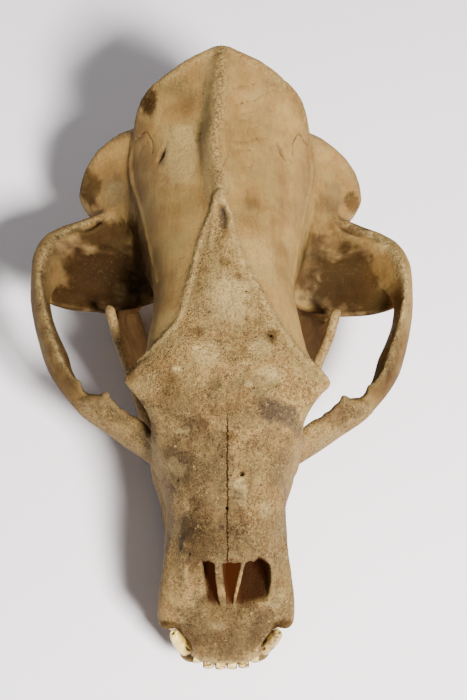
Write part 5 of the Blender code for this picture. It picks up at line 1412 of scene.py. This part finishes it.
    # painted shade in the hollows of the crown
    occ = np.clip(.5 - t.f / (2 * t.h), 0, 1)
    near = blurred(occ.astype(F32), 3)
    lp = np.column_stack((uu, vv, hgt))
    hollow_shade = np.clip((t.read(near, lp) - .52) * 5, 0, 1)
    tip = ramp(hgt / h, .55, 1.0)
    neck_stain_and_gap_shade = np.exp(-((hgt - .2) / 1.6) ** 2) * (.5 if kind == "incisor" else 1)
    if kind == "incisor":      # painted shade where it faces its neighbours, and dark patches
        neck_stain_and_gap_shade = np.maximum(neck_stain_and_gap_shade, .95 * ramp(np.abs(uu) / a, .66, .88))
        edge = .16 if "incisor_1" in name else -.12 if "incisor_2" in name else .10
        neck_stain_and_gap_shade = np.maximum(neck_stain_and_gap_shade, .98 * ramp(fbm(tp, 2.6, 2, 31 + seed), edge, edge + .16))
    if kind == "stub":      # stained along the outer edge, painted shade along the inner edge
        taper_at = 1 - .42 * np.clip(hgt / h, 0, 1) ** 2
        neck_stain_and_gap_shade = np.maximum(neck_stain_and_gap_shade, .9 * ramp(uu / (a * taper_at), .66, .90) * ramp(fbm(tp, 3.2, 2, 77), -.35, .1))
        neck_stain_and_gap_shade = np.maximum(neck_stain_and_gap_shade, .8 * ramp(-uu / (a * taper_at), .70, .92))
    rootm = 1 - ramp(hgt, -1.2, .4)
    set_mask(ob, "marks", tip, hollow_shade, neck_stain_and_gap_shade, rootm)
    wv = to_world(warp(tp))
    ob.data.vertices.foreach_set("co", wv.astype(F32).ravel())
    ob.data.update()
    return ob


tooth_objects = []
for row, table, plane, sgn in (("upper", UPPER, UPPER_PLANE, -1), ("lower", LOWER, LOWER_PLANE, 1)):
    for side, tag in ((1, "left"), (-1, "right")):
        for q, (tname, spec) in enumerate(table.items()):
            nm = "%s_%s_%s" % (row, tname, tag)
            ob = build_tooth(nm, spec, side, plane, sgn, 3 + q * 5 + (side > 0) * 2 + (sgn > 0) * 40)
            tooth_objects.append((ob, nm))


# ---------------------------------------------------------------- materials
class Nodes:
    """Short-hand for building a material's node tree."""

    def __init__(self, name):
        self.mat = bpy.data.materials.new(name)
        self.mat.use_nodes = True
        self.nt = self.mat.node_tree
        self.nt.nodes.clear()
        self.out = self.add("ShaderNodeOutputMaterial")
        self.bsdf = self.add("ShaderNodeBsdfPrincipled")
        self.link(self.bsdf.outputs[0], self.out.inputs[0])

    def add(self, kind, **props):
        nd = self.nt.nodes.new(kind)
        for k, v in props.items():
            setattr(nd, k, v)
        return nd

    def link(self, a, b):
        self.nt.links.new(a, b)

    def put(self, sock, v):
        if hasattr(v, "node"):
            self.link(v, sock)
        elif isinstance(v, (tuple, list)) and len(v) == 3 and sock.type == "RGBA":
            sock.default_value = (*v, 1.0)
        else:
            sock.default_value = v

    def coords(self):
        return self.add("ShaderNodeTexCoord").outputs["Object"]

    def noise(self, vec, scale, detail=4.0, rough=.55, distort=0.0):
        nd = self.add("ShaderNodeTexNoise", noise_dimensions="3D")
        self.link(vec, nd.inputs["Vector"])
        nd.inputs["Scale"].default_value = scale
        nd.inputs["Detail"].default_value = detail
        nd.inputs["Roughness"].default_value = rough
        nd.inputs["Distortion"].default_value = distort
        return nd.outputs["Fac"]

    def cells(self, vec, scale, feature="F1", rnd=1.0):
        nd = self.add("ShaderNodeTexVoronoi", voronoi_dimensions="3D", feature=feature)
        self.link(vec, nd.inputs["Vector"])
        nd.inputs["Scale"].default_value = scale
        nd.inputs["Randomness"].default_value = rnd
        return nd

    def span(self, x, a, b, lo=0.0, hi=1.0, smooth=True):
        nd = self.add("ShaderNodeMapRange", interpolation_type="SMOOTHSTEP" if smooth else "LINEAR")
        self.put(nd.inputs["Value"], x)
        nd.inputs["From Min"].default_value = a
        nd.inputs["From Max"].default_value = b
        nd.inputs["To Min"].default_value = lo
        nd.inputs["To Max"].default_value = hi
        return nd.outputs["Result"]

    def math(self, op, a, b=0.0, clamp=False):
        nd = self.add("ShaderNodeMath", operation=op, use_clamp=clamp)
        self.put(nd.inputs[0], a)
        self.put(nd.inputs[1], b)
        return nd.outputs[0]

    def mix(self, f, a, b, mode="MIX"):
        nd = self.add("ShaderNodeMix", data_type="RGBA", blend_type=mode)
        self.put(nd.inputs[0], f)
        self.put(nd.inputs[6], a)
        self.put(nd.inputs[7], b)
        return nd.outputs[2]

    def masks(self, name):
        at = self.add("ShaderNodeAttribute", attribute_type="GEOMETRY", attribute_name=name)
        sep = self.add("ShaderNodeSeparateColor")
        self.link(at.outputs["Color"], sep.inputs[0])
        return sep.outputs[0], sep.outputs[1], sep.outputs[2], at.outputs["Alpha"]

    def bump(self, height, strength, dist, normal=None):
        nd = self.add("ShaderNodeBump")
        self.put(nd.inputs["Height"], height)
        nd.inputs["Strength"].default_value = strength
        nd.inputs["Distance"].default_value = dist
        if normal is not None:
            self.link(normal, nd.inputs["Normal"])
        return nd.outputs[0]


def bone_material(name, use_seam):
    g = Nodes(name)
    co = g.coords()
    rough, brown, cream, grey = g.masks("marks")
    hollow_shade, shut_in_shade, inner, seam = g.masks("depth")
    ridge, under_shade, glow_gold, dark = g.masks("tone")
    big = g.noise(co, 14, 3, .5)
    mid = g.noise(co, 55, 4, .62, .12)
    lay = g.add("ShaderNodeMapping")
    g.link(co, lay.inputs["Vector"])
    lay.inputs["Scale"].default_value = (1.0, .16, .8)
    fibre = g.noise(lay.outputs[0], 520, 4, .66)
    fine = g.noise(co, 480, 4, .74)
    grain = g.noise(co, 900, 3, .7)
    # smooth bone: warm tan with soft clouds
    col = g.mix(g.span(big, .35, .65), (0.196, 0.109, 0.031), (0.246, 0.148, 0.043))
    col = g.mix(g.span(mid, .42, .72, 0, .60), col, (0.308, 0.196, 0.062))
    col = g.mix(g.math("MULTIPLY", g.span(mid, .50, .30), .34), col, (0.140, 0.080, 0.024))
    # painted glow: golden tint where thin bone lets light through
    col = g.mix(g.math("MULTIPLY", glow_gold, g.span(big, .3, .7, .15, .6)), col, (0.264, 0.130, 0.027))
    cloud = g.span(g.noise(co, 26, 5, .64), .50, .66, 0, .55)
    col = g.mix(cloud, col, (0.262, 0.182, 0.059))
    spot = g.math("MULTIPLY", g.span(g.noise(co, 240, 4, .7), .60, .68), g.span(g.noise(co, 38, 2), .48, .64))
    col = g.mix(g.math("MULTIPLY", spot, .5), col, (0.090, 0.047, 0.017))
    # grainy bone: pale specks and dark pores
    speck = g.span(fine, .43, .57)
    pale = g.mix(speck, (0.068, 0.033, 0.010), (0.276, 0.184, 0.066))
    pale = g.mix(g.span(mid, .35, .68, 0, .55), pale, (0.213, 0.137, 0.048))
    tint = g.noise(co, 62, 4, .66)
    pale = g.mix(g.span(tint, .50, .63, 0, .55), pale, (0.205, 0.160, 0.062))
    pale = g.mix(g.span(tint, .47, .36, 0, .50), pale, (0.140, 0.064, 0.018))
    col = g.mix(g.math("MULTIPLY", rough, .86), col, pale)
    pore = g.cells(co, 620).outputs["Distance"]
    pores = g.span(pore, .34, .14)
    pores = g.math("MULTIPLY", pores, g.span(g.noise(co, 130, 2), .38, .56))
    col = g.mix(g.math("MULTIPLY", pores, g.math("MULTIPLY", rough, .75)), col, (0.041, 0.019, 0.006))
    big_pore = g.cells(co, 170)
    bp = g.span(big_pore.outputs["Distance"], .17, .08)
    bp = g.math("MULTIPLY", bp, g.span(g.noise(co, 70, 2), .50, .60))
    col = g.mix(g.math("MULTIPLY", bp, rough), col, (0.033, 0.015, 0.006))
    hi = g.noise(co, 1150, 2, .8)
    col = g.mix(g.math("MULTIPLY", g.span(hi, .55, .64), g.math("MULTIPLY", rough, .60)), col, (0.390, 0.284, 0.112))
    col = g.mix(g.math("MULTIPLY", g.span(hi, .45, .36), g.math("MULTIPLY", rough, .70)), col, (0.052, 0.025, 0.008))
    # lengthwise fibres of the bone
    amount = g.span(rough, 0.0, .8, .45, 1.0)
    col = g.mix(g.math("MULTIPLY", g.span(fibre, .50, .34), g.math("MULTIPLY", amount, .46)), col, (0.085, 0.046, 0.017))
    col = g.mix(g.math("MULTIPLY", g.span(fibre, .54, .68), g.math("MULTIPLY", amount, .30)), col, (0.330, 0.222, 0.086))
    fleck = g.math("MULTIPLY", g.span(g.noise(co, 330, 5, .74), .585, .64), g.span(g.noise(co, 64, 2), .46, .60))
    fleck = g.math("MULTIPLY", fleck, g.span(rough, .1, .8, .14, .95))
    fleck = g.math("MULTIPLY", fleck, g.span(brown, .15, .6, 1.0, .0))
    # fine specks on the smooth bone
    smooth = g.math("SUBTRACT", 1.0, rough, True)
    col = g.mix(g.math("MULTIPLY", g.span(fine, .56, .66), g.math("MULTIPLY", smooth, .38)), col, (0.345, 0.244, 0.092))
    col = g.mix(g.math("MULTIPLY", g.span(fine, .44, .34), g.math("MULTIPLY", smooth, .38)), col, (0.130, 0.074, 0.024))
    col = g.mix(g.math("MULTIPLY", g.span(tint, .50, .62), g.math("MULTIPLY", smooth, .34)), col, (0.226, 0.164, 0.055))
    col = g.mix(g.math("MULTIPLY", g.span(tint, .47, .36), g.math("MULTIPLY", smooth, .30)), col, (0.214, 0.108, 0.036))
    dots = g.math("MULTIPLY", g.span(hi, .655, .70), g.span(g.noise(co, 48, 2), .42, .56))
    col = g.mix(g.math("MULTIPLY", dots, .50), col, (0.080, 0.042, 0.015))
    # stains; the brown also holds painted shade in the fossae, in pits, at the front of the arches, at the gum line and
    # round the lower canine's notch
    ragged = g.span(mid, .30, .58, .72, 1.0)
    ragged = g.math("MULTIPLY", ragged, g.span(g.math("SUBTRACT", fine, g.math("MULTIPLY", rough, .10)), .27, .45, .35, 1.0))
    col = g.mix(g.math("MULTIPLY", brown, ragged), col, (0.026, 0.011, 0.004))
    col = g.mix(g.math("MULTIPLY", grey, ragged), col, (0.046, 0.031, 0.019))
    col = g.mix(g.math("MULTIPLY", cream, g.span(fine, .33, .57, .28, 1.0)), col, (0.485, 0.362, 0.150))
    col = g.mix(g.math("MULTIPLY", ridge, .38), col, (0.300, 0.192, 0.072))
    # darker tone from the tone mask, partly painted shade
    tint_and_painted_shade = g.mix(g.math("MULTIPLY", dark, g.span(mid, .30, .62, 1.0, .72)), (1.0, 1.0, 1.0), (0.235, 0.205, 0.200))
    col = g.mix(1.0, col, tint_and_painted_shade, "MULTIPLY")
    col = g.mix(fleck, col, (0.300, 0.208, 0.086))
    # painted shade on downward faces and inside the braincase
    col = g.mix(g.math("MULTIPLY", under_shade, .55), col, (0.120, 0.063, 0.020))
    # painted shade in hollows and shut-in places
    # painted shade, darkest in concave places
    col = g.mix(g.math("MULTIPLY", hollow_shade, .75), col, (0.036, 0.017, 0.006))
    col = g.mix(g.math("MULTIPLY", shut_in_shade, .50), col, (0.076, 0.036, 0.011))
    # painted shade inside the nose and deep in the eye sockets
    if use_seam:
        col = g.mix(g.math("MULTIPLY", inner, .96), col, (0.015, 0.005, 0.002))
    col = g.mix(g.span(seam, .18, .85, 0, .90), col, (0.018, 0.009, 0.004))
    # fine seam along the middle of the nose bones
    xyz = g.add("ShaderNodeSeparateXYZ")
    g.link(co, xyz.inputs[0])
    wob = g.math("MULTIPLY", g.math("SUBTRACT", g.noise(co, 330, 3, .75), .5), .0046)
    off = g.math("ABSOLUTE", g.math("ADD", g.math("ADD", xyz.outputs[0], .0011), wob))
    seam2 = g.span(off, .00080, .00034)
    seam2 = g.math("MULTIPLY", seam2, g.span(xyz.outputs[1], -.052, -.066))
    seam2 = g.math("MULTIPLY", seam2, g.span(xyz.outputs[2], .118, .124))
    seam2 = g.math("MULTIPLY", seam2, g.span(xyz.outputs[1], -.1545, -.1535) if use_seam else 0.0)
    col = g.mix(g.math("MULTIPLY", seam2, .97), col, (0.016, 0.007, 0.002))
    # hairline cracks
    crk = g.cells(co, 34, "DISTANCE_TO_EDGE")
    line = g.span(crk.outputs["Distance"], .010, .003)
    line = g.math("MULTIPLY", line, g.span(g.noise(co, 30, 2), .60, .68))
    col = g.mix(g.math("MULTIPLY", line, .6), col, (0.060, 0.034, 0.016))
    g.link(col, g.bsdf.inputs["Base Color"])
    rg = g.span(fine, .3, .7, .60, .78)
    rg = g.math("ADD", rg, g.math("MULTIPLY", rough, .10), True)
    g.link(rg, g.bsdf.inputs["Roughness"])
    g.link(g.span(g.math("MAXIMUM", g.math("MAXIMUM", g.math("MAXIMUM", inner, brown), seam), seam2), 0, .9, .15, .02), g.bsdf.inputs["Specular IOR Level"])
    # painted glow: emission on the inner mask stands in for red-brown light through thin bone deep in the nose and in
    # the eye sockets
    g.bsdf.inputs["Emission Color"].default_value = (0.30, 0.076, 0.020, 1)
    middle = g.math("MULTIPLY", g.span(xyz.outputs[0], -.006, -.002), g.span(xyz.outputs[0], .0105, .0075))
    glow = g.math("ADD", g.math("MULTIPLY", middle, .18), g.span(xyz.outputs[0], .006, .012, .13, .062))
    if not use_seam:      # painted glow: emission on the inner face of the jaw's thin branch
        g.bsdf.inputs["Emission Color"].default_value = (0.37, 0.180, 0.066, 1)
        glow = g.span(mid, .3, .7, .16, .30)
    g.link(g.math("MULTIPLY", inner, glow), g.bsdf.inputs["Emission Strength"])
    # relief
    b1 = g.bump(g.noise(co, 420, 4, .7), .30, .0006)
    h2 = g.math("SUBTRACT", g.math("MULTIPLY", fine, g.math("MULTIPLY_ADD", rough, 1.4)),
                g.math("MULTIPLY", g.math("ADD", pores, bp, True), rough))
    nd = h2.node
    b2 = g.bump(h2, .85, .0009, b1)
    b3 = g.bump(g.math("MULTIPLY", line, -1.0), .4, .0004, b2)
    g.link(b3, g.bsdf.inputs["Normal"])
    return g.mat


def enamel_material(name, old, tint_and_painted_shade, stain_and_shade_colour, grip):
    """Tooth crown: cream, stained at the neck, with painted shade in the grooves and between neighbours; old is 0 to 1.
    """
    g = Nodes(name)
    co = g.coords()
    tip, hollow_shade, neck_stain_and_gap_shade, rootm = g.masks("marks")
    mid = g.noise(co, 120, 4, .6, .5)
    fine = g.noise(co, 500, 3, .6)
    col = g.mix(g.span(mid, .35, .65), (0.620, 0.440, 0.125), (0.820, 0.640, 0.250))
    col = g.mix(g.math("MULTIPLY", tip, .45), col, (0.860, 0.710, 0.330))
    # neck stain, with painted shade between neighbours and along the canine's inner edge
    col = g.mix(g.math("MULTIPLY", neck_stain_and_gap_shade, g.span(fine, .3, .6, grip, max(grip, .85 + .12 * old))), col, stain_and_shade_colour)
    # painted shade in the hollows of the crown
    col = g.mix(g.math("MULTIPLY", hollow_shade, .85), col, (0.080, 0.042, 0.018))
    col = g.mix(rootm, col, (0.300, 0.190, 0.085))
    crk = g.cells(co, 150, "DISTANCE_TO_EDGE")
    line = g.math("MULTIPLY", g.span(crk.outputs["Distance"], .020, .005), g.span(mid, .45, .60))
    col = g.mix(g.math("MULTIPLY", line, .45 + .3 * old), col, (0.140, 0.080, 0.038))
    big = g.noise(co, 95, 3, .6)
    col = g.mix(g.span(big, .50, .66, 0, .35 + .35 * old), col, (0.330, 0.200, 0.056))
    blot = g.span(g.noise(co, 210, 3, .6), .60 - .08 * old, .72 - .08 * old)
    col = g.mix(g.math("MULTIPLY", blot, .25 + .60 * old), col, (0.230 - .12 * old, 0.150 - .08 * old, 0.065 - .035 * old))
    col = g.mix(1.0, col, tint_and_painted_shade, "MULTIPLY")
    g.link(col, g.bsdf.inputs["Base Color"])
    g.link(g.span(fine, .3, .7, .34, .54), g.bsdf.inputs["Roughness"])
    g.link(g.span(neck_stain_and_gap_shade, .15, .75, .32, .0), g.bsdf.inputs["Specular IOR Level"])
    b1 = g.bump(fine, .18, .0004)
    g.link(b1, g.bsdf.inputs["Normal"])
    return g.mat


cranium.data.materials.append(bone_material("bone_of_the_cranium", True))
mandible.data.materials.append(bone_material("bone_of_the_jaw", False))
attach(cranium, "root")
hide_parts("cranium")
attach(mandible, "root")
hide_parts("mandible")
CANINE_TINT = {"lower_canine_left": (.50, .43, .31), "lower_canine_right": (1.12, 1.06, .76)}
for q, (ob, nm) in enumerate(tooth_objects):
    # the lower incisors are darkened as painted shade behind the upper ones; the canine tints are their own colour
    tint_and_painted_shade = CANINE_TINT.get(nm, (.62, .54, .42) if "lower_incisor" in nm else (1.0, .98, .92))
    # upper incisors: near-black painted shade between the crowns, with stains
    stain_and_shade_colour = (0.042, 0.031, 0.013) if "upper_incisor" in nm else (0.130, 0.075, 0.029)
    grip = .98 if "upper_incisor" in nm else .60
    ob.data.materials.append(enamel_material("enamel_of_" + nm, .85 if "incisor" in nm or nm == "lower_canine_left" else .25, tint_and_painted_shade, stain_and_shade_colour, grip))
    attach(ob, "root")
    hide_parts(nm)

# -------------------------------------------------------- floor, light, view
bm = bmesh.new()
bmesh.ops.create_grid(bm, x_segments=1, y_segments=1, size=4.0)
me = bpy.data.meshes.new("floor")
bm.to_mesh(me)
bm.free()
floor = bpy.data.objects.new("floor", me)
bpy.context.scene.collection.objects.link(floor)
fm = bpy.data.materials.new("pale_floor")
fm.use_nodes = True
fb = fm.node_tree.nodes["Principled BSDF"]
fb.inputs["Base Color"].default_value = (0.955, 0.925, 0.960, 1)
fb.inputs["Roughness"].default_value = 0.9
fb.inputs["Specular IOR Level"].default_value = 0.1
floor.data.materials.append(fm)
floor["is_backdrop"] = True


def area_light(name, at, to, size, power, colour):
    li = bpy.data.lights.new(name, "AREA")
    li.shape = "RECTANGLE"
    li.size, li.size_y = size
    li.energy = power
    li.color = colour
    ob = bpy.data.objects.new(name, li)
    ob.location = at
    ob.rotation_euler = (Vector(to) - Vector(at)).to_track_quat("-Z", "Y").to_euler()
    bpy.context.scene.collection.objects.link(ob)
    return ob


key = area_light("key", (0.52, -0.80, 1.40), (0, 0, .08), (.34, .34), 99, (1.0, .965, .92))
fill = area_light("fill", (-1.4, -.6, 1.5), (0, 0, .05), (1.6, 1.6), 1, (.93, .95, 1.0))
back = area_light("back", (.5, 1.5, 1.6), (0, 0, .05), (1.4, 1.0), 7, (1.0, .98, .96))
world = bpy.data.worlds.new("studio")
bpy.context.scene.world = world
world.use_nodes = True
world.node_tree.nodes["Background"].inputs[0].default_value = (.93, .92, .95, 1)
world.node_tree.nodes["Background"].inputs[1].default_value = .185

# the photo's viewing angle
DIST, ELEV, AZIM, ROLL, FOCAL_PX = 1.100, 68.0, 7.696, 7.082, 1550.5
target = Vector((0.005627, -0.000565, 0.140))
e, a, r = (math.radians(v) for v in (ELEV, AZIM, ROLL))
d = Vector((-math.sin(a) * math.cos(e), -math.cos(a) * math.cos(e), math.sin(e)))
fwd = -d
right = fwd.cross(Vector((0, 0, 1))).normalized()
up = right.cross(fwd)
r2 = right * math.cos(r) + up * math.sin(r)
u2 = -right * math.sin(r) + up * math.cos(r)
cam = bpy.data.cameras.new("camera")
cam.sensor_fit = "VERTICAL"
cam.sensor_height = 36.0
cam.lens = FOCAL_PX / 700.0 * 36.0
cam.clip_start, cam.clip_end = .05, 20
cam_ob = bpy.data.objects.new("camera", cam)
m = Matrix((r2, u2, -fwd)).transposed().to_4x4()
m.translation = target + d * DIST
cam_ob.matrix_world = m
bpy.context.scene.collection.objects.link(cam_ob)
bpy.context.scene.camera = cam_ob

bounds_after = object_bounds()


def plain(b):
    return json.loads(json.dumps(b, default=lambda o: [float(c) for c in o]))


{"before": plain(bounds_before), "after": plain(bounds_after)}
